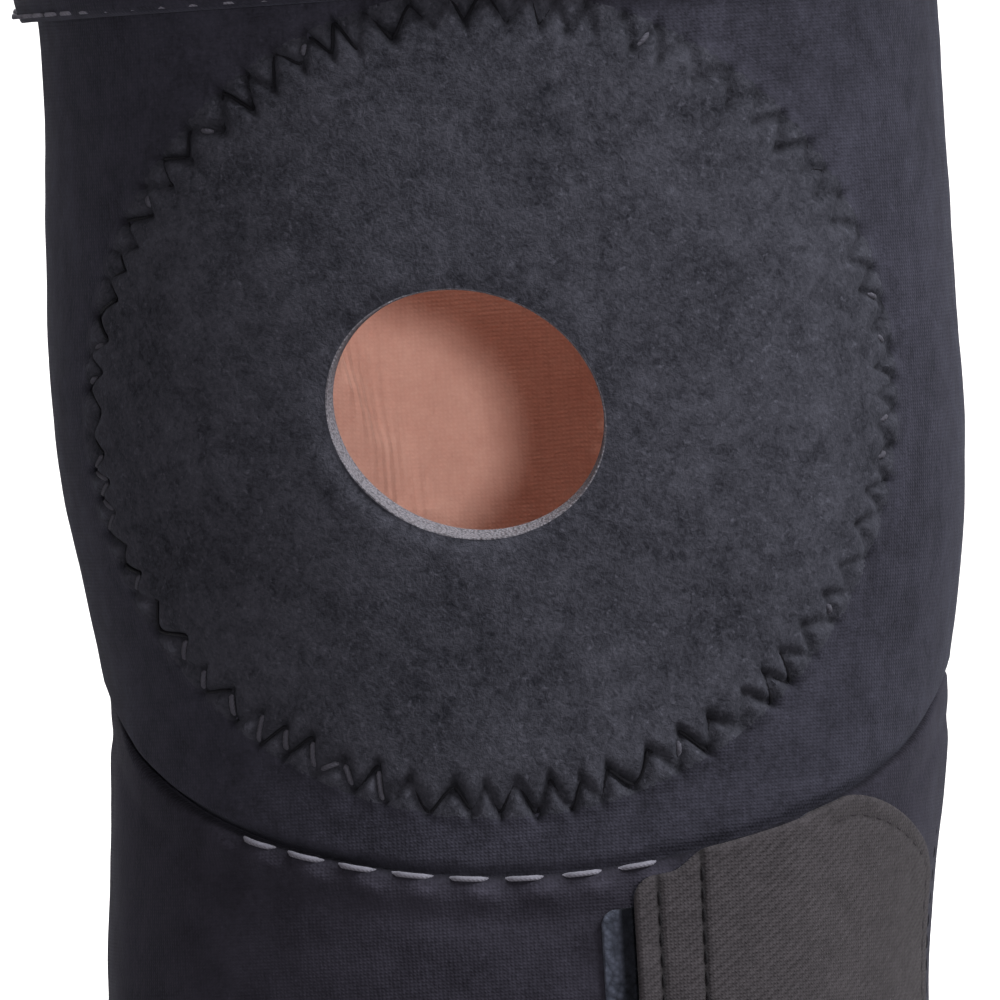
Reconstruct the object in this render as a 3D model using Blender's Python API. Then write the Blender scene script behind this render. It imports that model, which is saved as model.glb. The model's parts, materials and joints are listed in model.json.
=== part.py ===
"""Wrap-around hinged knee brace with an open patella panel.

Metres, +Z up, +X to the wearer's left (the viewer's right), front of the knee towards -Y.
Shapes are laid out round the knee's centre, on the leg's axis at the height of the patella
opening, and stand on a frame whose origin is the middle of the lower rim.
Three rigid groups share two geared side hinges: the thigh cuff with its hinge arms, the knee
piece with the hinge head plates, and the calf cuff with its hinge arms. Each cuff is a sheet
wrapped once round the leg, with its two ends meeting under a hook-and-loop closure tab.

Angles round the leg are in degrees: 0 is the front and 90 is +X. An "offset" is a distance
outside the brace's outer face, so negative offsets lie towards the leg.
"""

import math

import bmesh
import bpy

# ---------------------------------------------------------------- driving dimensions
TOP_Z = 0.175  # upper hem
BOTTOM_Z = -0.155  # lower hem
SHEET = 0.0030  # neoprene sheet thickness
GAP = 0.0004  # sewing gap between neighbouring edges
SECTION_POWER = 2.3  # squareness of the leg's cross-section (2 is an ellipse)
SHARP_DEG = 35  # edges bent by more than this are shaded sharp

# Half-sizes of the outer face: z, width towards -X, width towards +X, depth front, depth rear
STATIONS = (
    (-0.160, 0.0560, 0.0530, 0.0535, 0.0600),
    (-0.130, 0.0590, 0.0530, 0.0545, 0.0635),
    (-0.105, 0.0605, 0.0528, 0.0555, 0.0640),
    (-0.083, 0.0607, 0.0534, 0.0565, 0.0625),
    (-0.062, 0.0595, 0.0564, 0.0575, 0.0595),
    (-0.041, 0.0584, 0.0597, 0.0590, 0.0570),
    (-0.024, 0.0609, 0.0626, 0.0607, 0.0560),
    (-0.005, 0.0636, 0.0640, 0.0625, 0.0560),
    (0.015, 0.0637, 0.0640, 0.0638, 0.0565),
    (0.043, 0.0624, 0.0640, 0.0640, 0.0590),
    (0.058, 0.0624, 0.0643, 0.0640, 0.0610),
    (0.080, 0.0650, 0.0660, 0.0650, 0.0650),
    (0.110, 0.0690, 0.0695, 0.0675, 0.0700),
    (0.145, 0.0725, 0.0730, 0.0700, 0.0740),
    (0.180, 0.0750, 0.0755, 0.0715, 0.0765),
)

# Seams between the knee panel and the cuffs; each blends to the rear notch over a span of angle
LOWER_SEAM_Z = -0.0653  # at the front
LOWER_SEAM_RISE_MINUS_X, LOWER_SEAM_RISE_PLUS_X = 0.0315, 0.0260  # by 90 degrees
LOWER_BLEND_START_DEG, LOWER_BLEND_SPAN_DEG = 76.0, 84.0
UPPER_SEAM_Z, UPPER_SEAM_DROP = 0.0584, 0.0006
UPPER_BLEND_START_DEG, UPPER_BLEND_SPAN_DEG = 86.0, 80.0
REAR_NOTCH_Z = 0.0750  # the cuffs' edges at the back of the knee are at + and - this
TUCK = 0.0045  # how far the knee panel runs up under the thigh cuff's edge

# Popliteal panel, at the back of the knee
PANEL_SIDE_DEG = 124.0  # where the knee panel ends
POPLITEAL_GAP_DEG = 0.5
POPLITEAL_OFFSET, POPLITEAL_T = -0.0006, 0.0014

# Patella opening: a tilted ellipse whose outer rim is a little larger, lower and further to -X
OPEN_X, OPEN_Z = -0.0054, 0.0
OPEN_HALF_LONG, OPEN_HALF_SHORT, OPEN_TILT_DEG = 0.0190, 0.0165, -25.4
OPEN_FLARE, OPEN_SHIFT_X, OPEN_SHIFT_Z = 0.0009, -0.00045, -0.00067
OPEN_CUT_FRONT, OPEN_CUT_BACK = 0.010, 0.012  # cutter's reach from the outer face

# Patella pad: a disc outside the panel and a domed ring inside it, round one centre
PAD_X, PAD_Z = -0.0024, 0.0005
DISC_R, DISC_T, DISC_OFFSET, DISC_HOLE_GROWTH = 0.0570, 0.0009, 0.0005, 0.0006
BUTTRESS_R, BUTTRESS_HOLE_GROWTH = 0.0500, 0.0035
BUTTRESS_T, BUTTRESS_BASE_T = 0.0052, 0.0012  # at the crest, and before the dome is added
BUTTRESS_OFFSET = -SHEET - 0.0006
DOME_START, DOME_SPAN = 0.12, 0.76  # the part of a half sine wave that the dome follows

# Cuffs
SPLIT_DEG, SPLIT_HALF_GAP_DEG = 40.2, 0.45  # where a cuff's ends meet
THIGH_LAP = SHEET + 0.0005  # offset where the thigh cuff laps over the knee panel
THIGH_SETTLE = 0.0022  # how far it settles inwards above the lap
THIGH_SETTLE_START, THIGH_SETTLE_SPAN = TUCK + 0.002, 0.016  # heights above its lower edge
CALF_OFFSET = 0.0004
HEM_T, HEM_LEG = 0.0007, 0.0090  # binding tape, and its reach over the cuff
HEM_SIDE_GAP, HEM_EDGE_GAP = 0.0003, 0.0004

# Closure tabs
TAB_FREE_DEG = 12.2  # free end of the flaps
THIGH_TAB_END_DEG, CALF_TAB_END_DEG = 59.5, 69.0
TAB_T, HOOK_T, LOOP_T = 0.0016, 0.0007, 0.0007
TAB_GAP = 0.0003  # between the cuff and the layer on it
HOOK_LOOP_GAP = 0.00025
FLAP_LIFT = LOOP_T + HOOK_T + 0.0007  # lets the hook and loop in under the flap
FLAP_LIFT_START_DEG, FLAP_LIFT_SPAN_DEG = SPLIT_DEG - 1.2, 4.0
BASE_TRIM, BASE_TRIM_DEG = 0.004, 5  # narrowing of the base's far end
FLAP_TRIM, FLAP_TRIM_DEG = 0.003, 4  # narrowing of the flap's free end
THIGH_TAB_TOP, THIGH_TAB_BOTTOM = 0.1500, 0.0820
CALF_TAB_BOTTOM, CALF_TAB_TOP_GAP = -0.1370, 0.0008  # the gap is below the seam
CALF_TAB_DROOP, CALF_TAB_DROOP_DEG, CALF_TAB_DROOP_POWER = 0.0190, 44.3, 1.45

# Hinges; x values here are distances from the leg's axis on either side
PIVOT_Y, PIVOT_Z = 0.0060, 0.0110  # the two pivots sit at +PIVOT_Z and -PIVOT_Z
GEAR_TEETH, GEAR_DEPTH, GEAR_CLEAR = 16, 0.00075, 0.00028
GEAR_ARC_DEG = 93.75  # finely stepped arc to each side of the other gear
GEAR_FADE_DEG, GEAR_FADE_SPAN_DEG = 84, 10
ARM_HALF, ARM_T, PLATE_T, PLATE_R = 0.0075, 0.0023, 0.0012, 0.0125
AIR = 0.0003  # running gap between the plates, the arms and the rivet heads
HEAD_OUT_X = 0.0556  # outer face of the outer head plate
HEAD_IN_X = HEAD_OUT_X - 2 * PLATE_T - 2 * AIR - ARM_T  # inner face of the inner one
ARM_OUT_X = HEAD_OUT_X - PLATE_T - AIR  # arms' outer face at the head
FLAT_Z, ARM_BLEND = 0.0270, 0.030  # the arms are flat up to here, then bend to the leg
ARM_WIDTH_SHARE, ARM_SHEET_GAP = 0.985, 0.0009  # place of the bent arm inside the cuff
THIGH_ARM_REACH, CALF_ARM_REACH = 0.1480, 0.1300  # arm ends, from the knee's centre
RIVET_R, BORE_R, RIVET_HEAD_R, RIVET_HEAD_T = 0.0023, 0.0027, 0.0040, 0.0009
BORE_HALF_LENGTH = 0.01
INNER_HEAD_T = RIVET_HEAD_T * 0.8
CONDYLE_R, CONDYLE_T, CONDYLE_TAPER = 0.0150, 0.0044, 0.0025
CONDYLE_X = HEAD_IN_X - AIR - INNER_HEAD_T - 0.0004
FACING_HALF, FACING_T, FACING_GAP = 0.0125, 0.0012, 0.0004
FACING_START, FACING_OVERRUN = 0.0285, 0.006  # from the knee's centre, past the arm's end

# From the middle of the lower rim to the knee's centre
KNEE_CENTRE = (-0.000255, -0.001995, HEM_EDGE_GAP + HEM_T - BOTTOM_Z)

# ---------------------------------------------------------------- scene and frame
for old in list(bpy.data.objects):
    bpy.data.objects.remove(old, do_unlink=True)

FRAME = bpy.data.objects.new("knee_centre", None)
FRAME.location = KNEE_CENTRE
bpy.context.scene.collection.objects.link(FRAME)


# ---------------------------------------------------------------- materials
def make_material(name, colour, roughness, metallic=0.0):
    made = bpy.data.materials.new(name)
    made.use_nodes = True
    inputs = made.node_tree.nodes["Principled BSDF"].inputs
    inputs["Base Color"].default_value = (*colour, 1.0)
    inputs["Roughness"].default_value = roughness
    inputs["Metallic"].default_value = metallic
    made.diffuse_color = (*colour, 1.0)
    return made


NEOPRENE = make_material("neoprene_jersey", colour=(0.035, 0.036, 0.048), roughness=0.9)
PILE = make_material("brushed_pile", colour=(0.045, 0.047, 0.060), roughness=0.95)
TWILL = make_material("closure_twill", colour=(0.063, 0.060, 0.064), roughness=0.85)
BINDING = make_material("edge_binding", colour=(0.020, 0.020, 0.026), roughness=0.8)
MESH = make_material("stretch_mesh", colour=(0.028, 0.029, 0.038), roughness=0.9)
FOAM = make_material("pad_foam", colour=(0.110, 0.105, 0.115), roughness=0.95)
LINING = make_material("lining_tricot", colour=(0.420, 0.220, 0.150), roughness=0.9)
HOOK = make_material("hook_tape", colour=(0.020, 0.020, 0.022), roughness=0.6)
LOOP = make_material("loop_pile", colour=(0.045, 0.050, 0.066), roughness=0.95)
ALUMINIUM = make_material(
    "aluminium_arm", colour=(0.720, 0.730, 0.740), roughness=0.35, metallic=1.0
)
STEEL = make_material("steel_plate", colour=(0.560, 0.570, 0.580), roughness=0.3, metallic=1.0)


# ---------------------------------------------------------------- the leg's surface
def steps(start, end, count):
    return [start + (end - start) * k / count for k in range(count + 1)]


def smooth(t):
    """Eased step from 0 to 1."""
    t = min(1.0, max(0.0, t))
    return t * t * (3 - 2 * t)


def half_sizes(z):
    """The outer face's half-sizes at height z: a cubic through the stations, smooth in slope."""
    z = min(max(z, STATIONS[0][0]), STATIONS[-1][0])
    last = len(STATIONS) - 1
    i = max(k for k in range(last) if STATIONS[k][0] <= z)
    low, high = STATIONS[i], STATIONS[i + 1]
    before, after = STATIONS[max(i - 1, 0)], STATIONS[min(i + 2, last)]
    height = high[0] - low[0]
    t = (z - low[0]) / height
    sizes = []
    for c in range(1, 5):
        low_slope = (high[c] - before[c]) / (high[0] - before[0]) * height
        high_slope = (after[c] - low[c]) / (after[0] - low[0]) * height
        sizes.append(
            (2 * t**3 - 3 * t**2 + 1) * low[c]
            + (t**3 - 2 * t**2 + t) * low_slope
            + (3 * t**2 - 2 * t**3) * high[c]
            + (t**3 - t**2) * high_slope
        )
    return sizes


def on_face(deg, z, offset):
    """Point at an angle round the leg and a height, offset outside the outer face."""
    minus_x, plus_x, front, rear = half_sizes(z)
    sine, cosine = math.sin(math.radians(deg)), math.cos(math.radians(deg))
    width = (plus_x if sine >= 0 else minus_x) + offset
    depth = (front if cosine >= 0 else rear) + offset
    total = (abs(sine) / width) ** SECTION_POWER + (abs(cosine) / depth) ** SECTION_POWER
    radius = total ** (-1 / SECTION_POWER)
    return (radius * sine, -radius * cosine, z)


def front_y(x, z):
    """The outer face's y on the front, at a given x and z."""
    minus_x, plus_x, front, _ = half_sizes(z)
    share = min(0.999, abs(x) / (plus_x if x >= 0 else minus_x))
    return -front * (1 - share**SECTION_POWER) ** (1 / SECTION_POWER)


def front_angle(x, z):
    """Angle round the leg of the point on the front at a given x and z."""
    return math.degrees(math.atan2(x, -front_y(x, z)))


def wrapped(deg):
    return (deg + 180.0) % 360.0 - 180.0


def lower_seam(deg):
    """Height of the seam between the knee panel and the calf cuff."""
    deg = wrapped(deg)
    rise = LOWER_SEAM_RISE_PLUS_X if deg > 0 else LOWER_SEAM_RISE_MINUS_X
    blend = smooth((abs(deg) - LOWER_BLEND_START_DEG) / LOWER_BLEND_SPAN_DEG)
    z = LOWER_SEAM_Z + rise * (1 - math.cos(math.radians(deg)))
    return z * (1 - blend) - REAR_NOTCH_Z * blend


def upper_seam(deg):
    """Height of the thigh cuff's lower edge."""
    deg = wrapped(deg)
    blend = smooth((abs(deg) - UPPER_BLEND_START_DEG) / UPPER_BLEND_SPAN_DEG)
    z = UPPER_SEAM_Z - UPPER_SEAM_DROP * (1 - math.cos(math.radians(deg)))
    return z * (1 - blend) + REAR_NOTCH_Z * blend


# ---------------------------------------------------------------- mesh helpers
def finish(name, bm, material, origin=None):
    """Bmesh to a named object, its origin on its joint's axis where it has one."""
    bmesh.ops.recalc_face_normals(bm, faces=bm.faces)
    if bm.calc_volume(signed=True) < 0:
        bmesh.ops.reverse_faces(bm, faces=bm.faces)
    if origin:
        bmesh.ops.translate(bm, vec=[-v for v in origin], verts=bm.verts)
    mesh = bpy.data.meshes.new(name)
    bm.to_mesh(mesh)
    bm.free()
    mesh.materials.append(material)
    mesh.shade_smooth()
    mesh.set_sharp_from_angle(angle=math.radians(SHARP_DEG))
    made = bpy.data.objects.new(name, mesh)
    bpy.context.scene.collection.objects.link(made)
    made.parent = FRAME
    if origin:
        made.location = origin
    return made


def add_verts(bm, points):
    return [bm.verts.new(point) for point in points]


def bridge(bm, first, second, closed=True):
    """Quads between two rows of vertices of equal length."""
    count = len(first)
    for i in range(count if closed else count - 1):
        k = (i + 1) % count
        bm.faces.new((first[i], first[k], second[k], second[i]))


def close_sheet(bm, outer, inner, ring):
    """Faces of a sheet between two grids of vertices; a ring joins its last row to its first."""
    for grid in (outer, inner):
        following = grid[1:] + grid[:1] if ring else grid[1:]
        for row, after in zip(grid, following):
            bridge(bm, row, after, closed=False)
    for edge in (0, -1):
        bridge(bm, [row[edge] for row in outer], [row[edge] for row in inner], closed=ring)
    if not ring:
        for end in (0, -1):
            bridge(bm, outer[end], inner[end], closed=False)


def loft(sections):
    """Solid through a row of closed outlines, capped at both ends."""
    bm = bmesh.new()
    rings = [add_verts(bm, points) for points in sections]
    for ring, after in zip(rings, rings[1:]):
        bridge(bm, ring, after)
    bm.faces.new(rings[0])
    bm.faces.new(rings[-1])
    return bm


def shell(name, material, degs, low, high, rows, outer, thickness, origin=None, ease=1.0):
    """Closed sheet over degs and between the edges low(deg) and high(deg).

    outer(deg, z) is the offset of its outer face; ease above 1 crowds the rows towards the
    low edge.
    """
    bm = bmesh.new()
    grids = []
    for depth in (0.0, thickness):
        grid = []
        for deg in degs:
            z_low, z_high = low(deg), high(deg)
            heights = [z_low + (z_high - z_low) * t**ease for t in steps(0.0, 1.0, rows)]
            grid.append(add_verts(bm, [on_face(deg, z, outer(deg, z) - depth) for z in heights]))
        grids.append(grid)
    close_sheet(bm, *grids, ring=False)
    return finish(name, bm, material, origin)


def ring_plate(name, material, inner_edge, outer_edge, near, far, n_round, n_across):
    """Closed ring on the front between two outlines, which give (x, z) for an angle.

    near is the offset of one face and far(t) that of the other, t going from the inner edge
    to the outer one.
    """
    bm = bmesh.new()
    grids = []
    for offset in (lambda t: near, far):
        grid = []
        for i in range(n_round):
            angle = 2 * math.pi * i / n_round
            (x0, z0), (x1, z1) = inner_edge(angle), outer_edge(angle)
            deg0, deg1 = front_angle(x0, z0), front_angle(x1, z1)
            points = [
                on_face(deg0 + (deg1 - deg0) * t, z0 + (z1 - z0) * t, offset(t))
                for t in steps(0.0, 1.0, n_across)
            ]
            grid.append(add_verts(bm, points))
        grids.append(grid)
    close_sheet(bm, *grids, ring=True)
    return finish(name, bm, material)


def cut(target, bm):
    """Subtracts a solid from target with a modifier."""
    cutter = finish(f"cutter_{target.name}_{len(target.modifiers)}", bm, STEEL)
    cutter.hide_render = True
    cutter.display_type = "WIRE"
    modifier = target.modifiers.new("cut", "BOOLEAN")
    modifier.operation = "DIFFERENCE"
    modifier.solver = "EXACT"
    modifier.object = cutter


# ---------------------------------------------------------------- knee panel and patella pad
def opening(share, growth=0.0):
    """Patella opening's outline; share is 0 at the panel's inner face and 1 at its outer."""
    tilt = math.radians(OPEN_TILT_DEG)
    grown = OPEN_FLARE * share + growth

    def at(angle):
        along = (OPEN_HALF_LONG + grown) * math.cos(angle)
        across = (OPEN_HALF_SHORT + grown) * math.sin(angle)
        return (
            OPEN_X + OPEN_SHIFT_X * share + along * math.cos(tilt) - across * math.sin(tilt),
            OPEN_Z + OPEN_SHIFT_Z * share + along * math.sin(tilt) + across * math.cos(tilt),
        )

    return at


def pad_circle(radius):
    return lambda angle: (PAD_X + radius * math.cos(angle), PAD_Z + radius * math.sin(angle))


def opening_cutter():
    """Solid with leaning walls, running front to back through the opening."""
    face_y = front_y(OPEN_X, OPEN_Z)
    sections = []
    for y in (face_y - OPEN_CUT_FRONT, face_y + OPEN_CUT_BACK):
        edge = opening((face_y + SHEET - y) / SHEET)
        outline = [edge(2 * math.pi * i / 40) for i in range(40)]
        sections.append([(x, y, z) for x, z in outline])
    return loft(sections)


def knee_panel():
    panel = shell(
        "knee_front_panel",
        NEOPRENE,
        steps(-PANEL_SIDE_DEG, PANEL_SIDE_DEG, 40),
        low=lambda deg: lower_seam(deg) + GAP,
        high=lambda deg: upper_seam(deg) + TUCK,
        rows=8,
        outer=lambda deg, z: 0.0,
        thickness=SHEET,
    )
    cut(panel, opening_cutter())


def patella_disc():
    ring_plate(
        "patella_cover_disc",
        PILE,
        opening(1, DISC_HOLE_GROWTH),
        pad_circle(DISC_R),
        near=DISC_OFFSET,
        far=lambda t: DISC_OFFSET + DISC_T,
        n_round=44,
        n_across=6,
    )


def patella_buttress():
    def domed(t):
        dome = math.sin(math.pi * (DOME_START + DOME_SPAN * t))
        return BUTTRESS_OFFSET - BUTTRESS_BASE_T - (BUTTRESS_T - BUTTRESS_BASE_T) * dome

    ring_plate(
        "patella_buttress_ring",
        FOAM,
        opening(0, BUTTRESS_HOLE_GROWTH),
        pad_circle(BUTTRESS_R),
        near=BUTTRESS_OFFSET,
        far=domed,
        n_round=32,
        n_across=4,
    )


def popliteal_panel():
    start = PANEL_SIDE_DEG + POPLITEAL_GAP_DEG
    shell(
        "popliteal_panel",
        MESH,
        steps(start, 360 - start, 16),
        low=lambda deg: lower_seam(deg) + GAP,
        high=lambda deg: upper_seam(deg) - GAP,
        rows=8,
        outer=lambda deg, z: POPLITEAL_OFFSET,
        thickness=POPLITEAL_T,
    )


# ---------------------------------------------------------------- cuffs
CUFF_DEGS = steps(SPLIT_DEG + SPLIT_HALF_GAP_DEG, SPLIT_DEG + 360 - SPLIT_HALF_GAP_DEG, 46)


def thigh_face(deg, z):
    """The thigh cuff laps over the knee panel at its lower edge and settles above it."""
    rise = z - upper_seam(deg)
    return THIGH_LAP - THIGH_SETTLE * smooth((rise - THIGH_SETTLE_START) / THIGH_SETTLE_SPAN)


def calf_face(deg, z):
    return CALF_OFFSET


def thigh_cuff():
    shell(
        "thigh_cuff",
        NEOPRENE,
        CUFF_DEGS,
        low=upper_seam,
        high=lambda deg: TOP_Z,
        rows=8,
        outer=thigh_face,
        thickness=SHEET,
        ease=1.7,
    )


def calf_cuff():
    shell(
        "calf_cuff",
        NEOPRENE,
        CUFF_DEGS,
        low=lambda deg: BOTTOM_Z,
        high=lambda deg: lower_seam(deg) - GAP,
        rows=6,
        outer=calf_face,
        thickness=SHEET,
    )


def hem_binding(name, edge_z, up, face):
    """Folded tape over a cuff's edge: a U section open towards the cuff."""
    inside_z = edge_z + up * HEM_EDGE_GAP
    fold_z = edge_z + up * (HEM_EDGE_GAP + HEM_T)
    leg_z = edge_z - up * HEM_LEG
    sections = []
    for deg in CUFF_DEGS:
        outer = face(deg, edge_z) + HEM_SIDE_GAP
        inner = face(deg, edge_z) - SHEET - HEM_SIDE_GAP
        corners = (
            (outer, leg_z),
            (outer + HEM_T, leg_z),
            (outer + HEM_T, fold_z),
            (inner - HEM_T, fold_z),
            (inner - HEM_T, leg_z),
            (inner, leg_z),
            (inner, inside_z),
            (outer, inside_z),
        )
        sections.append([on_face(deg, z, offset) for offset, z in corners])
    finish(name, loft(sections), BINDING)


# ---------------------------------------------------------------- closure tabs
def closure_tab(prefix, low, high, face, end_deg, base_steps):
    """Sewn base, free flap with its hook pad, and the loop patch it lands on."""

    def above(height):
        return lambda deg, z: face(deg, z) + TAB_GAP + height

    def base_trim(deg):
        return BASE_TRIM * smooth((deg - end_deg + BASE_TRIM_DEG) / BASE_TRIM_DEG)

    def flap_trim(deg):
        return FLAP_TRIM * smooth((TAB_FREE_DEG + FLAP_TRIM_DEG - deg) / FLAP_TRIM_DEG)

    def flap_outer(deg, z):
        lift = FLAP_LIFT * smooth((FLAP_LIFT_START_DEG - deg) / FLAP_LIFT_SPAN_DEG)
        return face(deg, z) + TAB_GAP + lift + TAB_T

    # The base lies on the cuff's end at the +X side of the split
    shell(
        f"{prefix}_tab_base",
        TWILL,
        steps(SPLIT_DEG + 1.0, end_deg, base_steps),
        low=lambda deg: low(deg) + base_trim(deg),
        high=lambda deg: high(deg) - base_trim(deg),
        rows=5,
        outer=above(TAB_T),
        thickness=TAB_T,
    )
    # The fold runs straight between the tab's lower and upper edges at the split; its middle
    # is the origin of the flap and the hook pad
    ends = [
        on_face(SPLIT_DEG, z, above(TAB_T)(SPLIT_DEG, z))
        for z in (low(SPLIT_DEG), high(SPLIT_DEG))
    ]
    fold = tuple((a + b) / 2 for a, b in zip(*ends))
    shell(
        f"{prefix}_tab_flap",
        TWILL,
        steps(TAB_FREE_DEG, SPLIT_DEG - 1.0, 8),
        low=lambda deg: low(deg) + flap_trim(deg),
        high=lambda deg: high(deg) - flap_trim(deg),
        rows=5,
        outer=flap_outer,
        thickness=TAB_T,
        origin=fold,
    )
    shell(
        f"{prefix}_hook_pad",
        HOOK,
        steps(TAB_FREE_DEG + 2.0, SPLIT_DEG - 6.5, 6),
        low=lambda deg: low(deg) + 0.006,
        high=lambda deg: high(deg) - 0.006,
        rows=5,
        outer=above(LOOP_T + HOOK_LOOP_GAP + HOOK_T),
        thickness=HOOK_T,
        origin=fold,
    )
    shell(
        f"{prefix}_loop_patch",
        LOOP,
        steps(TAB_FREE_DEG - 3.5, SPLIT_DEG - 6.0, 7),
        low=lambda deg: low(deg) + 0.002,
        high=lambda deg: high(deg) - 0.004,
        rows=5,
        outer=above(LOOP_T),
        thickness=LOOP_T,
    )


def calf_tab_top(deg):
    """Follows the seam, then droops towards the base's far end."""
    share = max(0.0, (deg - CALF_TAB_DROOP_DEG) / (CALF_TAB_END_DEG - CALF_TAB_DROOP_DEG))
    return lower_seam(deg) - CALF_TAB_TOP_GAP - CALF_TAB_DROOP * share**CALF_TAB_DROOP_POWER


# ---------------------------------------------------------------- side hinges
# side is -1 for the hinge at -X and 1 for the one at +X; up is 1 for thigh parts, -1 for calf
def circle(z, radius, count):
    """(y, z) points round a pivot at height z."""
    angles = [2 * math.pi * k / count for k in range(count)]
    return [(PIVOT_Y + radius * math.cos(a), z + radius * math.sin(a)) for a in angles]


def stadium(radius, arc_steps):
    """(y, z) outline round both pivots."""
    points = []
    for start, z in ((0.0, PIVOT_Z), (math.pi, -PIVOT_Z)):
        for k in range(arc_steps + 1):
            a = start + math.pi * k / arc_steps
            points.append((PIVOT_Y + radius * math.cos(a), z + radius * math.sin(a)))
    return points


def at_x(x, outline):
    return [(x, y, z) for y, z in outline]


def bore(target, z, x_middle):
    """Cuts a pivot hole along X."""
    outline = circle(z, BORE_R, 16)
    ends = (x_middle - BORE_HALF_LENGTH, x_middle + BORE_HALF_LENGTH)
    cut(target, loft([at_x(x, outline) for x in ends]))


def arm_x(side, z):
    """The arm's outer face at height z: flat at the head, then just inside the cuff."""
    minus_x, plus_x, _, _ = half_sizes(z)
    width = plus_x if side > 0 else minus_x
    bent = width * ARM_WIDTH_SHARE - SHEET - ARM_SHEET_GAP
    blend = smooth((abs(z) - FLAT_Z) / ARM_BLEND)
    return ARM_OUT_X * (1 - blend) + bent * blend


def strip_section(side, x_outer, thickness, half, z):
    """Corners of a level cross-section of a strip that runs up the leg's side."""
    x, x_inner = side * x_outer, side * (x_outer - thickness)
    front, rear = PIVOT_Y - half, PIVOT_Y + half
    return [(x, rear, z), (x, front, z), (x_inner, front, z), (x_inner, rear, z)]


def head_outline(up):
    """Toothed head and the start of the strip, as (y, z) corners."""
    root = PIVOT_Z - GEAR_DEPTH - GEAR_CLEAR
    neck_deg = 180 - math.degrees(math.asin(ARM_HALF / root))
    plain = steps(-neck_deg, -GEAR_ARC_DEG, 4)[:-1]
    toothed = steps(-GEAR_ARC_DEG, GEAR_ARC_DEG, 58)
    points = [(PIVOT_Y + ARM_HALF, up * FLAT_Z)]
    for deg in plain + toothed + [-a for a in reversed(plain)]:  # 0 points at the other gear
        angle = math.radians(deg)
        fade = 1 - smooth((abs(deg) - GEAR_FADE_DEG) / GEAR_FADE_SPAN_DEG)
        wave = up * math.cos(GEAR_TEETH * angle)  # one gear's teeth face the other's gaps
        radius = root + fade * GEAR_DEPTH * (1 + wave)
        points.append(
            (PIVOT_Y - radius * math.sin(angle), up * (PIVOT_Z - radius * math.cos(angle)))
        )
    points.append((PIVOT_Y - ARM_HALF, up * FLAT_Z))
    return points


def hinge_arm(name, side, up, reach):
    """Toothed head with a strip that follows the leg to a rounded end."""
    bm = bmesh.new()
    head = head_outline(up)
    outer = add_verts(bm, at_x(side * ARM_OUT_X, head))
    inner = add_verts(bm, at_x(side * (ARM_OUT_X - ARM_T), head))
    bm.faces.new(outer)
    bm.faces.new(inner)
    bridge(bm, outer, inner, closed=False)

    straight_end = reach - ARM_HALF
    sections = [(height, ARM_HALF) for height in steps(FLAT_Z, straight_end, 11)[1:]]
    for k in range(1, 5):  # rounded end, stopping short of a point
        a = math.radians(90 * k / 4.6)
        sections.append((straight_end + ARM_HALF * math.sin(a), ARM_HALF * math.cos(a)))
    ring = [outer[0], outer[-1], inner[-1], inner[0]]
    for height, half in sections:
        z = up * height
        after = add_verts(bm, strip_section(side, arm_x(side, z), ARM_T, half, z))
        bridge(bm, ring, after)
        ring = after
    bm.faces.new(ring)
    arm = finish(name, bm, ALUMINIUM, (0.0, PIVOT_Y, up * PIVOT_Z))
    bore(arm, up * PIVOT_Z, side * (ARM_OUT_X - ARM_T / 2))


def pocket_facing(name, side, up, reach):
    """Strip inside the cuff, which holds the arm from the leg's side."""
    sections = []
    for height in steps(FACING_START, reach + FACING_OVERRUN, 8):
        z = up * height
        x = arm_x(side, z) - ARM_T - FACING_GAP
        sections.append(strip_section(side, x, FACING_T, FACING_HALF, z))
    finish(name, loft(sections), LINING)


def head_plate(name, side, x_outer):
    outline = stadium(PLATE_R, 12)
    bm = loft([at_x(side * x, outline) for x in (x_outer, x_outer - PLATE_T)])
    plate = finish(name, bm, STEEL)
    for z in (PIVOT_Z, -PIVOT_Z):
        bore(plate, z, side * (x_outer - PLATE_T / 2))


def rivet(name, side, z):
    """Turned about the pivot's axis, with a head at each end."""
    out_x, in_x = HEAD_OUT_X + AIR, HEAD_IN_X - AIR  # under the heads
    profile = (  # x, radius
        (out_x + RIVET_HEAD_T, RIVET_HEAD_R * 0.7),
        (out_x + RIVET_HEAD_T * 0.5, RIVET_HEAD_R),
        (out_x, RIVET_HEAD_R),
        (out_x, RIVET_R),
        (in_x, RIVET_R),
        (in_x, RIVET_HEAD_R),
        (in_x - INNER_HEAD_T, RIVET_HEAD_R * 0.8),
    )
    bm = loft([at_x(side * x, circle(z, radius, 12)) for x, radius in profile])
    finish(name, bm, STEEL, (0.0, PIVOT_Y, z))


def condyle_pad(name, side):
    """Pad on the leg's side of the rivets, tapered towards the leg."""
    profile = (  # x, radius round the pivots
        (CONDYLE_X, CONDYLE_R),
        (CONDYLE_X - CONDYLE_T * 0.6, CONDYLE_R),
        (CONDYLE_X - CONDYLE_T, CONDYLE_R - CONDYLE_TAPER),
    )
    finish(name, loft([at_x(side * x, stadium(radius, 10)) for x, radius in profile]), FOAM)


def side_hinge(side, word):
    for cuff, up, reach in (("thigh", 1, THIGH_ARM_REACH), ("calf", -1, CALF_ARM_REACH)):
        hinge_arm(f"{cuff}_hinge_arm_{word}", side, up, reach)
        pocket_facing(f"{cuff}_pocket_facing_{word}", side, up, reach)
    head_plate(f"hinge_outer_plate_{word}", side, HEAD_OUT_X)
    head_plate(f"hinge_inner_plate_{word}", side, HEAD_IN_X + PLATE_T)
    rivet(f"hinge_rivet_upper_{word}", side, PIVOT_Z)
    rivet(f"hinge_rivet_lower_{word}", side, -PIVOT_Z)
    condyle_pad(f"condyle_pad_{word}", side)


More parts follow.
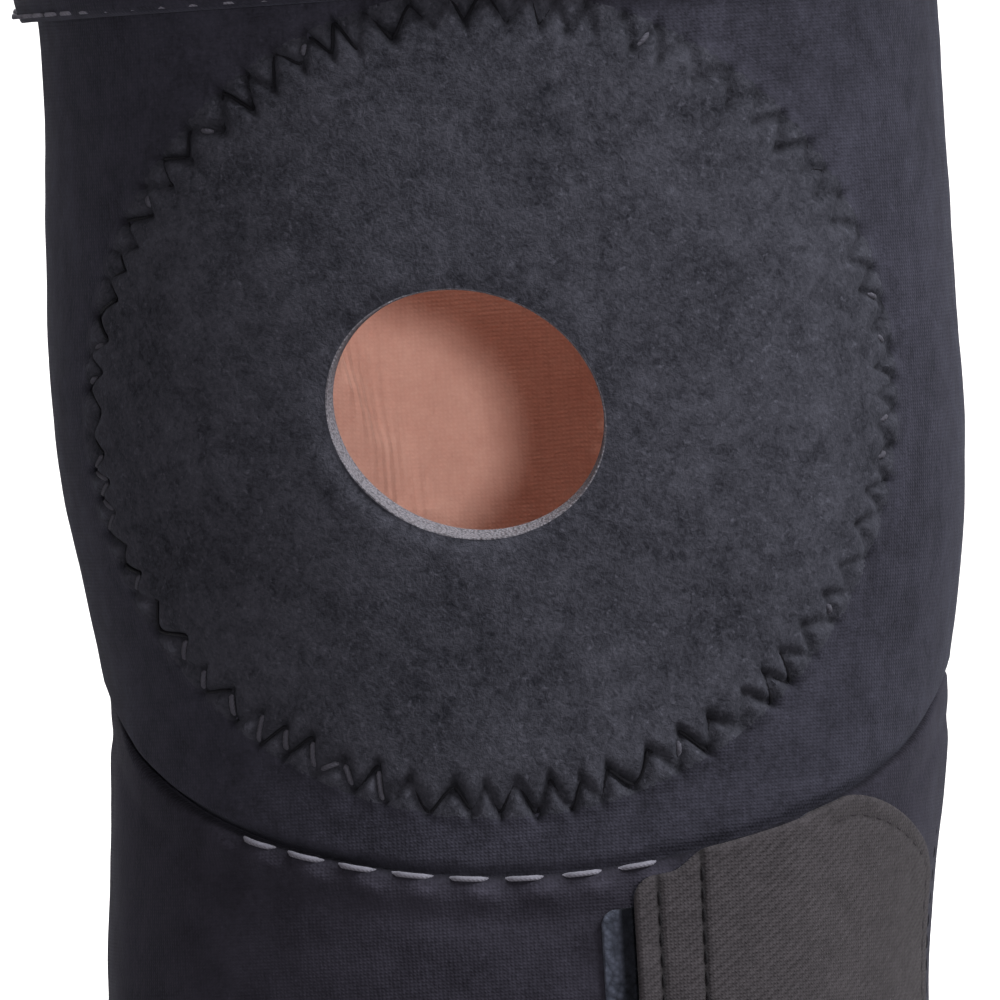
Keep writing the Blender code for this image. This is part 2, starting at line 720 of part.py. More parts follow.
# ---------------------------------------------------------------- build
knee_panel()
patella_disc()
patella_buttress()
popliteal_panel()
thigh_cuff()
calf_cuff()
hem_binding("thigh_hem_binding", TOP_Z, 1, thigh_face)
hem_binding("calf_hem_binding", BOTTOM_Z, -1, calf_face)
closure_tab(
    "calf",
    low=lambda deg: CALF_TAB_BOTTOM,
    high=calf_tab_top,
    face=calf_face,
    end_deg=CALF_TAB_END_DEG,
    base_steps=9,
)
closure_tab(
    "thigh",
    low=lambda deg: THIGH_TAB_BOTTOM,
    high=lambda deg: THIGH_TAB_TOP,
    face=thigh_face,
    end_deg=THIGH_TAB_END_DEG,
    base_steps=5,
)
side_hinge(-1, "right")  # the wearer's right
side_hinge(1, "left")
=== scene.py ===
"""Looks of a wrap-around hinged knee brace: soft goods, stitching, hinges, light and camera.

The brace stands along +Z with its front towards -Y and its left side at +X. Shapes are built in
knee coordinates, whose origin is at KNEE, mostly from an angle round the leg (0 in front, 90 at
+X), a height and an offset outside the brace's outer face. Lengths are in metres; angles named
deg are in degrees.
"""

import json
import math

import bpy
import numpy as np
from mathutils import Matrix, Vector, noise


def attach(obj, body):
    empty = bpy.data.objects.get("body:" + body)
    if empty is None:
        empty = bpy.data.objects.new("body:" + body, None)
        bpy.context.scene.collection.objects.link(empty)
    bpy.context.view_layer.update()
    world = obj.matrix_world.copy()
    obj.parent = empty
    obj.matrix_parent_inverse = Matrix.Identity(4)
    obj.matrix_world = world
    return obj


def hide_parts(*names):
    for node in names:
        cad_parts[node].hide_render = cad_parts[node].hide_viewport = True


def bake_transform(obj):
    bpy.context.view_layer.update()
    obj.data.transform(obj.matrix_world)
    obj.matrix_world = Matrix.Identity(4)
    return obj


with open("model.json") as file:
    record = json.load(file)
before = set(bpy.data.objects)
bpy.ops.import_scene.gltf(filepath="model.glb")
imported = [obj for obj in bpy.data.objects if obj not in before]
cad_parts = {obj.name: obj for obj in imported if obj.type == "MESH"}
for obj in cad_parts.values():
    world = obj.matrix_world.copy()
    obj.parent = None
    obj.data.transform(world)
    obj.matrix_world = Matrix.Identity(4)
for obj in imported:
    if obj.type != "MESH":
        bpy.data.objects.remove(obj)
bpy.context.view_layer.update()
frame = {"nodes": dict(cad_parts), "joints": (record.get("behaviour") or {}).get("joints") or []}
JOINTS = {joint["name"]: joint for joint in frame["joints"]}

# each side hinge has two pivots, PIVOT_Z above and below the knee's middle
PIVOT_Y, PIVOT_Z = 0.0060, 0.0110
KNEE = np.array(JOINTS["upper_flexion"]["pos_m"], float) - np.array([0.0, PIVOT_Y, PIVOT_Z])

LEVELS = (("lower", False), ("upper", True))
SIDES = ((-1, "right"), (1, "left"))

# ------------------------------------------------------------------ driving dimensions
SHEET = 0.0030  # thickness of the padded cloth
POWER = 2.3  # exponent of the superelliptic section
TOP_Z, BOTTOM_Z = 0.175, -0.155
# height, then half-sizes of the section towards -X, +X, front and back
STATIONS = np.array(
    (
        (-0.160, 0.0560, 0.0530, 0.0535, 0.0600),
        (-0.130, 0.0590, 0.0530, 0.0545, 0.0635),
        (-0.105, 0.0605, 0.0528, 0.0555, 0.0640),
        (-0.083, 0.0607, 0.0534, 0.0565, 0.0625),
        (-0.062, 0.0595, 0.0564, 0.0575, 0.0595),
        (-0.041, 0.0584, 0.0597, 0.0590, 0.0570),
        (-0.024, 0.0609, 0.0626, 0.0607, 0.0560),
        (-0.005, 0.0636, 0.0640, 0.0625, 0.0560),
        (0.015, 0.0637, 0.0640, 0.0638, 0.0565),
        (0.043, 0.0624, 0.0640, 0.0640, 0.0590),
        (0.058, 0.0624, 0.0643, 0.0640, 0.0610),
        (0.080, 0.0650, 0.0660, 0.0650, 0.0650),
        (0.110, 0.0690, 0.0695, 0.0675, 0.0700),
        (0.145, 0.0725, 0.0730, 0.0700, 0.0740),
        (0.180, 0.0750, 0.0755, 0.0715, 0.0765),
    )
)
# cuff seams: height in front, how they climb or drop round the sides, and height behind
LOWER_Z, RISE_MINUS_X, RISE_PLUS_X = -0.0653, 0.0315, 0.0260
UPPER_Z, UPPER_DROP = 0.0580, 0.0006
REAR_Z = 0.0750
SIDE_DEG = 124.0  # side seams between the knee panel and the knit panel
SPLIT_DEG = 40.2  # where each tab leaves its cuff, and where the cuff meshes close
# oval opening in the front: centre, half-axes and tilt; then the centre of the sewn ring
OPEN_X, OPEN_Z, OPEN_A, OPEN_B, OPEN_TILT = -0.0054, 0.0001, 0.0190, 0.0162, -25.4
PAD_X, PAD_Z = -0.0024, 0.0005
LAP = SHEET + 0.0005  # the thigh cuff lies over the knee panel
CALF_OUT = 0.0004
UV_RADIUS = 0.0625  # turns an angle round the leg into a texture length


# ------------------------------------------------------------------ shape of the leg
def smooth(t):
    """Smooth step from 0 to 1."""
    t = np.clip(t, 0.0, 1.0)
    return t * t * (3 - 2 * t)


def bell(distance, width, power=2):
    """Bump of height 1, flatter on top for a higher even power."""
    return np.exp(-((distance / width) ** power))


def ripple(angle, base, *waves):
    """Base plus sine waves, each given as (size, cycles a turn, phase)."""
    total = base
    for size, cycles, phase in waves:
        total = total + size * np.sin(angle * cycles + phase)
    return total


def section_table():
    """Heights and the four half-sizes there, on a cubic through the stations."""
    rows = STATIONS
    heights = np.linspace(rows[0, 0], rows[-1, 0], 1401)
    sizes = np.zeros((len(heights), 4))
    for n, z in enumerate(heights):
        i = min(int(np.searchsorted(rows[:, 0], z, "right")) - 1, len(rows) - 2)
        start, end = rows[i], rows[i + 1]
        before, after = rows[max(i - 1, 0)], rows[min(i + 2, len(rows) - 1)]
        gap = end[0] - start[0]
        t = (z - start[0]) / gap
        slope_start = (end - before) / (end[0] - before[0]) * gap
        slope_end = (after - start) / (after[0] - start[0]) * gap
        row = (
            (2 * t**3 - 3 * t**2 + 1) * start
            + (t**3 - 2 * t**2 + t) * slope_start
            + (3 * t**2 - 2 * t**3) * end
            + (t**3 - t**2) * slope_end
        )
        sizes[n] = row[1:]
    return heights, sizes


SECTION_Z, SECTION_SIZES = section_table()


def half_sizes(z):
    """Half-sizes towards -X, +X, front and back at height z."""
    return [np.interp(z, SECTION_Z, SECTION_SIZES[:, c]) for c in range(4)]


def face(deg, z, off):
    """Points at angle deg and height z, off outside the outer face."""
    deg, z, off = np.broadcast_arrays(
        np.asarray(deg, float), np.asarray(z, float), np.asarray(off, float)
    )
    minus_x, plus_x, front, back = half_sizes(z)
    s, c = np.sin(np.radians(deg)), np.cos(np.radians(deg))
    w = np.where(s >= 0, plus_x, minus_x) + off
    d = np.where(c >= 0, front, back) + off
    r = ((np.abs(s) / w) ** POWER + (np.abs(c) / d) ** POWER) ** (-1 / POWER)
    return np.stack([r * s, -r * c, z], -1)


def front_depth(x, z, off=0.0):
    """How far the front lies towards -Y at a given x and z."""
    minus_x, plus_x, front, _ = half_sizes(z)
    w = np.where(x >= 0, plus_x, minus_x) + off
    return (front + off) * (1 - np.minimum(0.9995, np.abs(x) / w) ** POWER) ** (1 / POWER)


def bearing(x, z):
    """Angle round the leg of the front point at a given x and z."""
    return np.degrees(np.arctan2(x, front_depth(x, z)))


def surface_normal(deg, z):
    step = face(deg, z, 0.001) - face(deg, z, 0.0)
    return step / np.linalg.norm(step, axis=-1)[..., None]


def wrapped(deg):
    """The same angle between -180 and 180."""
    return (np.asarray(deg, float) + 180.0) % 360.0 - 180.0


def lower_seam(deg):
    """Height of the seam between the knee panels and the calf cuff."""
    d = wrapped(deg)
    t = smooth((np.abs(d) - 76.0) / 84.0)
    z = LOWER_Z + np.where(d > 0, RISE_PLUS_X, RISE_MINUS_X) * (1 - np.cos(np.radians(d)))
    return z * (1 - t) - REAR_Z * t


def upper_seam(deg):
    """Height of the seam between the knee panels and the thigh cuff."""
    d = wrapped(deg)
    t = smooth((np.abs(d) - 86.0) / 80.0)
    return (UPPER_Z - UPPER_DROP * (1 - np.cos(np.radians(d)))) * (1 - t) + REAR_Z * t


def thigh_out(deg, z):
    """Offset of the thigh cuff's outer face: it laps over the seam and settles above it."""
    return LAP - 0.0022 * smooth((z - upper_seam(deg) - 0.0065) / 0.016)


def calf_out(deg, z):
    return np.full_like(np.asarray(z, float), CALF_OUT)


def lumps(deg, z, *layers):
    """Smooth noise over the leg's surface; each layer is (height, size of a lump, seed)."""
    points = face(deg, z, 0.0).reshape(-1, 3)
    shape = np.broadcast(np.asarray(deg), np.asarray(z)).shape
    total = 0.0
    for height, size, seed in layers:
        places = points / size + seed
        values = np.array([noise.fractal(Vector(p), 1.0, 2.0, 2) for p in places])
        total = total + height * values.reshape(shape)
    return total


# ------------------------------------------------------------------ material nodes
def srgb(*levels):
    """Linear colour from 0-255 levels."""
    shares = [v / 255.0 for v in levels]
    return tuple(v / 12.92 if v <= 0.04045 else ((v + 0.055) / 1.055) ** 2.4 for v in shares)


def times(colour, factor):
    return tuple(min(1.0, c * factor) for c in colour)


class Graph:
    """Builds one material's node tree; sizes and periods are in metres."""

    def __init__(self, name):
        self.material = bpy.data.materials.new(name)
        self.material.use_nodes = True
        self.tree = self.material.node_tree
        coordinates = self.new("ShaderNodeTexCoord")
        self.uv = coordinates.outputs["UV"]
        self.object = coordinates.outputs["Object"]

    def new(self, kind, **values):
        node = self.tree.nodes.new(kind)
        for key, value in values.items():
            setattr(node, key, value)
        return node

    def link(self, source, target):
        self.tree.links.new(source, target)

    def put(self, socket, value):
        """Links a socket, or sets a number or colour."""
        if isinstance(value, bpy.types.NodeSocket):
            self.link(value, socket)
        else:
            socket.default_value = (*value, 1.0) if isinstance(value, tuple) else value

    def math(self, operation, a, b):
        node = self.new("ShaderNodeMath", operation=operation)
        self.put(node.inputs[0], a)
        self.put(node.inputs[1], b)
        return node.outputs[0]

    def multiply(self, a, b):
        return self.math("MULTIPLY", a, b)

    def total(self, *terms):
        """Sum of terms, each a socket or a (socket, weight) pair."""
        total = None
        for term in terms:
            value = self.multiply(*term) if isinstance(term, tuple) else term
            total = value if total is None else self.math("ADD", total, value)
        return total

    def noise(self, size, detail=2.0, rough=0.5, vector=None, distortion=0.0):
        node = self.new("ShaderNodeTexNoise")
        self.link(vector or self.object, node.inputs["Vector"])
        node.inputs["Scale"].default_value = 1.0 / size
        node.inputs["Detail"].default_value = detail
        node.inputs["Roughness"].default_value = rough
        node.inputs["Distortion"].default_value = distortion
        return node.outputs["Fac"]

    def voronoi(self, size):
        node = self.new("ShaderNodeTexVoronoi", feature="F1")
        self.link(self.object, node.inputs["Vector"])
        node.inputs["Scale"].default_value = 1.0 / size
        return node.outputs["Distance"]

    def mapped(self, vector, turn_deg=0.0, scale=(1.0, 1.0, 1.0)):
        node = self.new("ShaderNodeMapping")
        self.link(vector, node.inputs["Vector"])
        node.inputs["Rotation"].default_value[2] = math.radians(turn_deg)
        node.inputs["Scale"].default_value = scale
        return node.outputs["Vector"]

    def wave(self, period, direction="X", distortion=0.0, vector=None):
        node = self.new("ShaderNodeTexWave", bands_direction=direction)
        self.link(vector or self.uv, node.inputs["Vector"])
        node.inputs["Scale"].default_value = 0.31416 / period  # 20 scale x = 2 pi a band
        node.inputs["Distortion"].default_value = distortion
        node.inputs["Detail"].default_value = 1.0
        node.inputs["Detail Scale"].default_value = 1.4
        return node.outputs["Fac"]

    def remap(self, value, span, to=(0.0, 1.0)):
        node = self.new("ShaderNodeMapRange")
        self.link(value, node.inputs["Value"])
        for i, limit in enumerate((*span, *to)):
            node.inputs[i + 1].default_value = limit
        return node.outputs["Result"]

    def signed(self, value, reach, limit=1.0):
        """Value within reach of 0.5, spread out from -limit to limit."""
        return self.remap(value, span=(0.5 - reach, 0.5 + reach), to=(-limit, limit))

    def mix(self, factor, a, b):
        node = self.new("ShaderNodeMix", data_type="RGBA", blend_type="MIX")
        self.put(node.inputs[0], factor)
        self.put(node.inputs[6], a)
        self.put(node.inputs[7], b)
        return node.outputs[2]

    def painted_shade_and_highlight(self, colour, depth=0.62):
        """Painted shade: darker where the mesh's shade attribute is above 0; painted highlight:
        lighter where it is below 0.
        """
        shade = self.new("ShaderNodeAttribute", attribute_name="shade").outputs["Fac"]
        darker = self.remap(shade, span=(0.0, 1.0), to=(1.0, 1.0 - depth))
        lighter = self.remap(shade, span=(-1.0, 0.0), to=(2.4, 1.0))
        node = self.new("ShaderNodeVectorMath", operation="SCALE")
        self.put(node.inputs[0], colour)
        self.put(node.inputs["Scale"], self.multiply(darker, lighter))
        return node.outputs[0]

    def bump(self, height, distance, strength, under=None):
        node = self.new("ShaderNodeBump")
        node.inputs["Strength"].default_value = strength
        node.inputs["Distance"].default_value = distance
        self.link(height, node.inputs["Height"])
        if under is not None:
            self.link(under, node.inputs["Normal"])
        return node.outputs["Normal"]

    def finish(self, colour, rough, normal=None, sheen=0.0, tint=(1, 1, 1), metal=0.0, spec=0.3):
        inputs = self.tree.nodes["Principled BSDF"].inputs
        self.put(inputs["Base Color"], colour)
        self.put(inputs["Roughness"], rough)
        inputs["Metallic"].default_value = metal
        inputs["Specular IOR Level"].default_value = spec
        inputs["Sheen Weight"].default_value = sheen
        inputs["Sheen Roughness"].default_value = 0.5
        inputs["Sheen Tint"].default_value = (*tint, 1.0)
        if normal is not None:
            self.link(normal, inputs["Normal"])
        return self.material


# ------------------------------------------------------------------ cloth, thread and metal
def jersey(name, dark, light, sheen, mottle=0.0045, grain=1.0):
    """Fine knit laminated on foam: wales and courses half a millimetre apart, with lint."""
    g = Graph(name)
    wale = g.wave(period=0.00062, distortion=1.6)
    course = g.wave(period=0.00050, direction="Y", distortion=1.2)
    knit = g.multiply(wale, course)
    fine = g.noise(size=0.00075, detail=3.0, rough=0.65)
    patch = g.noise(size=mottle, detail=3.0, rough=0.55)
    wide = g.noise(size=0.022)
    lint = g.remap(g.noise(size=0.0007, detail=1.0, rough=0.4), span=(0.66, 0.78))
    tone = g.total(
        (g.signed(fine, reach=0.2), 0.30 * grain),
        (g.signed(patch, reach=0.15), 0.21),
        (g.signed(wide, reach=0.15), 0.12),
        (knit, 0.07),
    )
    base = g.mix(g.remap(tone, span=(-0.5, 0.62)), dark, light)
    base = g.painted_shade_and_highlight(g.mix(g.multiply(lint, 0.22), base, times(light, 1.7)))
    normal = g.bump(patch, distance=0.0006, strength=0.35)
    height = g.total((knit, 0.40), (fine, 0.9))
    normal = g.bump(height, distance=0.00022, strength=0.75, under=normal)
    rough = g.remap(fine, span=(0.2, 0.8), to=(0.78, 0.97))
    return g.finish(base, rough, normal, sheen=sheen, tint=(0.62, 0.66, 0.85), spec=0.06)


def pile(name, dark, light):
    """Brushed loop pile: soft clumps a millimetre across, over wider brushed patches."""
    g = Graph(name)
    clump = g.noise(size=0.0011, detail=4.0, rough=0.7, distortion=0.6)
    fuzz = g.noise(size=0.00042, rough=0.6)
    patch = g.noise(size=0.0042, detail=4.0, rough=0.62, distortion=0.4)
    wide = g.noise(size=0.016)
    tone = g.total(
        (g.signed(clump, reach=0.2), 0.42),
        (g.signed(patch, reach=0.15), 0.26),
        (g.signed(wide, reach=0.15), 0.16),
        (g.signed(fuzz, reach=0.2), 0.22),
    )
    base = g.mix(g.remap(tone, span=(-0.75, 0.85)), dark, light)
    speck = g.remap(g.noise(size=0.0010, rough=0.7), span=(0.60, 0.74))
    base = g.painted_shade_and_highlight(g.mix(g.multiply(speck, 0.40), base, times(light, 1.7)))
    normal = g.bump(patch, distance=0.0008, strength=0.4)
    height = g.total((clump, 1.0), (fuzz, 0.5))
    normal = g.bump(height, distance=0.00035, strength=0.8, under=normal)
    return g.finish(base, 0.95, normal, sheen=0.04, tint=(0.62, 0.66, 0.82), spec=0.06)


def twill(name, dark, light):
    """Twill weave: diagonal ribs with broken floats, a little lighter on the ribs."""
    g = Graph(name)
    slanted = g.mapped(g.uv, turn_deg=-36.0)
    rib = g.wave(period=0.00105, direction="Y", distortion=0.9, vector=slanted)
    yarn = g.wave(period=0.00055, distortion=0.8)
    weft = g.wave(period=0.00050, direction="Y", distortion=0.8)
    fine = g.noise(size=0.0006, detail=3.0, rough=0.65)
    patch = g.noise(size=0.005, detail=3.0, rough=0.6)
    cells = g.multiply(yarn, weft)
    stretched = g.mapped(slanted, scale=(0.55, 1.5, 1.0))
    slub = g.noise(size=0.0013, detail=3.0, rough=0.7, vector=stretched)
    tone = g.total(
        (rib, 0.12),
        (g.signed(fine, reach=0.2, limit=0.5), 0.40),
        (g.signed(slub, reach=0.2, limit=0.5), 0.60),
        (g.signed(patch, reach=0.15, limit=0.5), 0.28),
        (cells, 0.18),
    )
    base = g.painted_shade_and_highlight(g.mix(g.remap(tone, span=(-0.45, 0.75)), dark, light), depth=0.7)
    height = g.total((rib, 0.8), (slub, 0.9), (cells, 0.5))
    normal = g.bump(height, distance=0.00026, strength=0.7)
    normal = g.bump(fine, distance=0.0002, strength=0.5, under=normal)
    return g.finish(base, 0.88, normal, sheen=0.04, tint=(0.9, 0.88, 0.86), spec=0.08)


def tape(name, dark, light):
    """Woven binding tape: ribs across its width."""
    g = Graph(name)
    rib = g.wave(period=0.0011, distortion=0.5)
    pick = g.wave(period=0.0006, direction="Y", distortion=0.6)
    fine = g.noise(size=0.0007, detail=3.0, rough=0.6)
    base = g.mix(g.total((rib, 0.6), (fine, 0.4)), dark, light)
    normal = g.bump(g.total(rib, (pick, 0.35)), distance=0.00026, strength=0.8)
    return g.finish(base, 0.8, normal, sheen=0.15, tint=(0.7, 0.7, 0.8), spec=0.25)


def loops(name, dark, light):
    """Unbroken loop pile: packed little curls."""
    g = Graph(name)
    curl = g.voronoi(size=0.00085)
    fuzz = g.noise(size=0.0005, detail=3.0, rough=0.7, distortion=1.2)
    patch = g.noise(size=0.004)
    tone = g.total((curl, 0.8), (fuzz, 0.5))
    base = g.mix(g.remap(tone, span=(0.2, 0.95)), light, dark)
    base = g.mix(g.remap(patch, span=(0.4, 0.6), to=(0.0, 0.25)), base, light)
    base = g.painted_shade_and_highlight(base, depth=0.85)
    height = g.math("SUBTRACT", g.multiply(fuzz, 0.6), curl)
    normal = g.bump(height, distance=0.0004, strength=0.9)
    return g.finish(base, 0.95, normal, sheen=0.1, tint=(0.7, 0.75, 0.9), spec=0.08)


def lining(name, dark, light):
    """Tricot lining: fine vertical wales with a soft brushed face."""
    g = Graph(name)
    wale = g.wave(period=0.0007, distortion=0.6)
    course = g.wave(period=0.0006, direction="Y", distortion=0.6)
    fine = g.noise(size=0.0008, detail=3.0, rough=0.6)
    patch = g.noise(size=0.009, detail=3.0, rough=0.55)
    knit = g.multiply(wale, course)
    tone = g.total((knit, 0.07), (fine, 0.30), (patch, 0.60))
    base = g.mix(g.remap(tone, span=(0.25, 0.80)), dark, light)
    normal = g.bump(g.total((knit, 0.4), fine), distance=0.0002, strength=0.35)
    return g.finish(base, 0.92, normal, sheen=0.3, tint=(1.0, 0.85, 0.75), spec=0.15)


def foam_edge(name, dark, light):
    """Cut edge of closed-cell foam."""
    g = Graph(name)
    cell = g.voronoi(size=0.00038)
    big = g.voronoi(size=0.0009)
    fine = g.noise(size=0.0006, detail=3.0, rough=0.7)
    tone = g.total((cell, 0.7), (fine, 0.5))
    base = g.mix(g.remap(tone, span=(0.2, 0.9)), light, dark)
    normal = g.bump(g.total(cell, (big, 0.6)), distance=0.0003, strength=0.8)
    return g.finish(base, 0.9, normal, spec=0.25)


def thread(name, colour, sheen):
    """Twisted sewing thread: ply lines along the strand."""
    g = Graph(name)
    ply = g.wave(period=0.00045, distortion=0.5, vector=g.mapped(g.uv, turn_deg=38.0))
    fine = g.noise(size=0.0004, rough=0.6)
    tone = g.total((ply, 0.5), (fine, 0.6))
    base = g.mix(g.remap(tone, span=(0.1, 1.0)), times(colour, 0.6), times(colour, 1.3))
    normal = g.bump(tone, distance=0.00012, strength=0.6)
    return g.finish(base, 0.8, normal, sheen=sheen, spec=0.08)


def knit_rib(name, dark, light):
    """Stretch rib knit: raised vertical ribs two millimetres apart with fine courses between."""
    g = Graph(name)
    rib = g.wave(period=0.0021, distortion=0.35)
    stitch = g.wave(period=0.0007, direction="Y", distortion=1.0)
    fine = g.noise(size=0.0007, detail=3.0, rough=0.6)
    patch = g.noise(size=0.006, detail=3.0, rough=0.55)
    tone = g.total((rib, 0.5), (fine, 0.35), (patch, 0.3))
    base = g.mix(g.remap(tone, span=(0.2, 0.95)), dark, light)
    height = g.total((rib, 1.2), (stitch, 0.4))
    normal = g.bump(height, distance=0.0004, strength=0.85)
    return g.finish(base, 0.9, normal, sheen=0.25, tint=(0.65, 0.7, 0.85), spec=0.2)


def metal(name, base, rough, scratch=0.35, grain_scale=(1, 1, 0.04)):
    """Brushed metal with fine drawn lines, stretched along Z by default, and lighter edges."""
    g = Graph(name)
    stretched = g.mapped(g.object, scale=grain_scale)
    lines = g.noise(size=0.0003, detail=4.0, rough=0.7, vector=stretched)
    smear = g.noise(size=0.006, detail=3.0, rough=0.6)
    marks = g.remap(g.noise(size=0.0016, distortion=2.5), span=(0.66, 0.72))
    pointiness = g.new("ShaderNodeNewGeometry").outputs["Pointiness"]
    edges = g.remap(pointiness, span=(0.5, 0.56), to=(0.0, 0.35))
    tone = g.total((lines, 0.5), (smear, 0.4))
    colour = g.mix(g.remap(tone, span=(0.25, 0.7)), times(base, 0.78), base)
    colour = g.mix(edges, colour, times(base, 1.25))
    colour = g.mix(g.multiply(marks, 0.25), colour, times(base, 0.6))
    roughness = g.remap(tone, span=(0.2, 0.8), to=(rough - 0.08, rough + 0.14))
    normal = g.bump(lines, distance=0.00005, strength=scratch)
    return g.finish(colour, roughness, normal, metal=1.0, spec=0.5)


def hook_plastic(name, base):
    g = Graph(name)
    fine = g.noise(size=0.0012, detail=3.0, rough=0.6)
    wear = g.noise(size=0.006, detail=3.0, rough=0.6)
    colour = g.mix(g.remap(fine, span=(0.3, 0.7)), times(base, 0.7), times(base, 1.5))
    colour = g.mix(g.remap(wear, span=(0.55, 0.7), to=(0.0, 0.4)), colour, times(base, 3.0))
    rough = g.remap(fine, span=(0.2, 0.8), to=(0.4, 0.65))
    return g.finish(colour, rough, g.bump(fine, distance=0.0001, strength=0.5), spec=0.5)


NEOPRENE = jersey("neoprene_jersey", dark=srgb(29, 29, 35), light=srgb(55, 55, 65), sheen=0.035)
NEOPRENE_CALF = jersey(
    "neoprene_calf", dark=srgb(27, 26, 32), light=srgb(50, 49, 58),
    mottle=0.006, grain=0.8, sheen=0.03,
)
PILE = pile("brushed_pile", dark=srgb(26, 27, 32), light=srgb(66, 67, 75))
LINING = lining("tan_lining", dark=srgb(190, 146, 131), light=srgb(216, 178, 163))
FOAM = foam_edge("foam_cut_edge", dark=srgb(76, 75, 80), light=srgb(126, 124, 131))
TWILL = twill("closure_twill", dark=srgb(42, 40, 42), light=srgb(66, 63, 66))
TWILL_STRIP = twill("closure_twill_strip", dark=srgb(42, 40, 42), light=srgb(66, 63, 66))
TAPE = tape("hem_tape", dark=srgb(24, 24, 30), light=srgb(52, 52, 61))
LOOPS = loops("loop_patch", dark=srgb(40, 44, 52), light=srgb(84, 89, 103))
KNIT = knit_rib("popliteal_knit", dark=srgb(28, 28, 35), light=srgb(62, 62, 74))
LIGHT_THREAD = thread("light_thread", srgb(116, 116, 126), sheen=0.05)
# lighter copy of the ring's dark thread, for painted highlights on its strands
HIGHLIT_RING_THREAD = thread("ring_thread_painted_highlight", srgb(72, 72, 80), sheen=0.02)
DARK_THREAD = thread("dark_thread", srgb(15, 15, 19), sheen=0.0)
TAB_SEWN_THREAD = thread("tab_sewn_thread", srgb(48, 45, 48), sheen=0.0)
TAB_THREAD = thread("tab_thread", srgb(27, 26, 28), sheen=0.0)
TAN_THREAD = thread("tan_thread", srgb(190, 140, 118), sheen=0.2)
HOOKS = hook_plastic("hook_plastic", srgb(40, 40, 43))
ALUMINIUM = metal("aluminium", (0.72, 0.73, 0.74), rough=0.34)
STEEL = metal("steel_plate", (0.56, 0.57, 0.58), rough=0.28)
RIVET = metal(
    "steel_rivet", (0.66, 0.67, 0.68), rough=0.2, scratch=0.15, grain_scale=(1, 1, 1)
)


# ------------------------------------------------------------------ mesh helpers
def mesh_object(name, points, faces, corner_uv, mats, face_mats=None, smooth_deg=50.0):
    """Object from quads in knee coordinates, with one (u, v) in metres for each face corner."""
    mesh = bpy.data.meshes.new(name)
    mesh.vertices.add(len(points))
    mesh.vertices.foreach_set("co", (points + KNEE).astype(np.float32).ravel())
    mesh.loops.add(faces.size)
    mesh.loops.foreach_set("vertex_index", faces.ravel().astype(np.int32))
    mesh.polygons.add(len(faces))
    mesh.polygons.foreach_set("loop_start", (np.arange(len(faces)) * 4).astype(np.int32))
    mesh.update(calc_edges=True)
    for mat in mats:
        mesh.materials.append(mat)
    if face_mats is not None:
        mesh.polygons.foreach_set("material_index", np.asarray(face_mats, np.int32))
    layer = mesh.uv_layers.new(name="UVMap")
    layer.data.foreach_set("uv", corner_uv.astype(np.float32).ravel())
    mesh.validate()
    mesh.shade_smooth()
    if smooth_deg:
        mesh.set_sharp_from_angle(angle=math.radians(smooth_deg))
    ob = bpy.data.objects.new(name, mesh)
    bpy.context.scene.collection.objects.link(ob)
    return ob


# orders of a cell's corners, as steps along (column, row)
FORWARD = ((0, 0), (1, 0), (1, 1), (0, 1))
BACKWARD = FORWARD[::-1]
ROW_FIRST = ((0, 0), (0, 1), (1, 1), (1, 0))


def cells(columns, rows):
    """Column and row of every cell of a grid."""
    i, j = np.meshgrid(np.arange(columns), np.arange(rows), indexing="ij")
    return i.ravel(), j.ravel()


def band(name, points, uv, corners, mats, row_mats=None, closed=True, smooth_deg=60):
    """Endless band from (columns, rows, 3) points whose last column repeats the first.

    With closed, the last row joins the first too, so the band is a solid.
    """
    n, m = len(points) - 1, points.shape[1]
    index = np.arange(n * m).reshape(n, m)
    index = np.concatenate([index, index[:1]])
    i, j = cells(n, m if closed else m - 1)
    picks = [(i + di, (j + dj) % m) for di, dj in corners]
    faces = np.stack([index[p] for p in picks], 1)
    corner_uv = np.stack([uv[p] for p in picks], 1)
    face_mats = None if row_mats is None else row_mats[j]
    points = points[:n].reshape(-1, 3)
    return mesh_object(name, points, faces, corner_uv, mats, face_mats, smooth_deg)


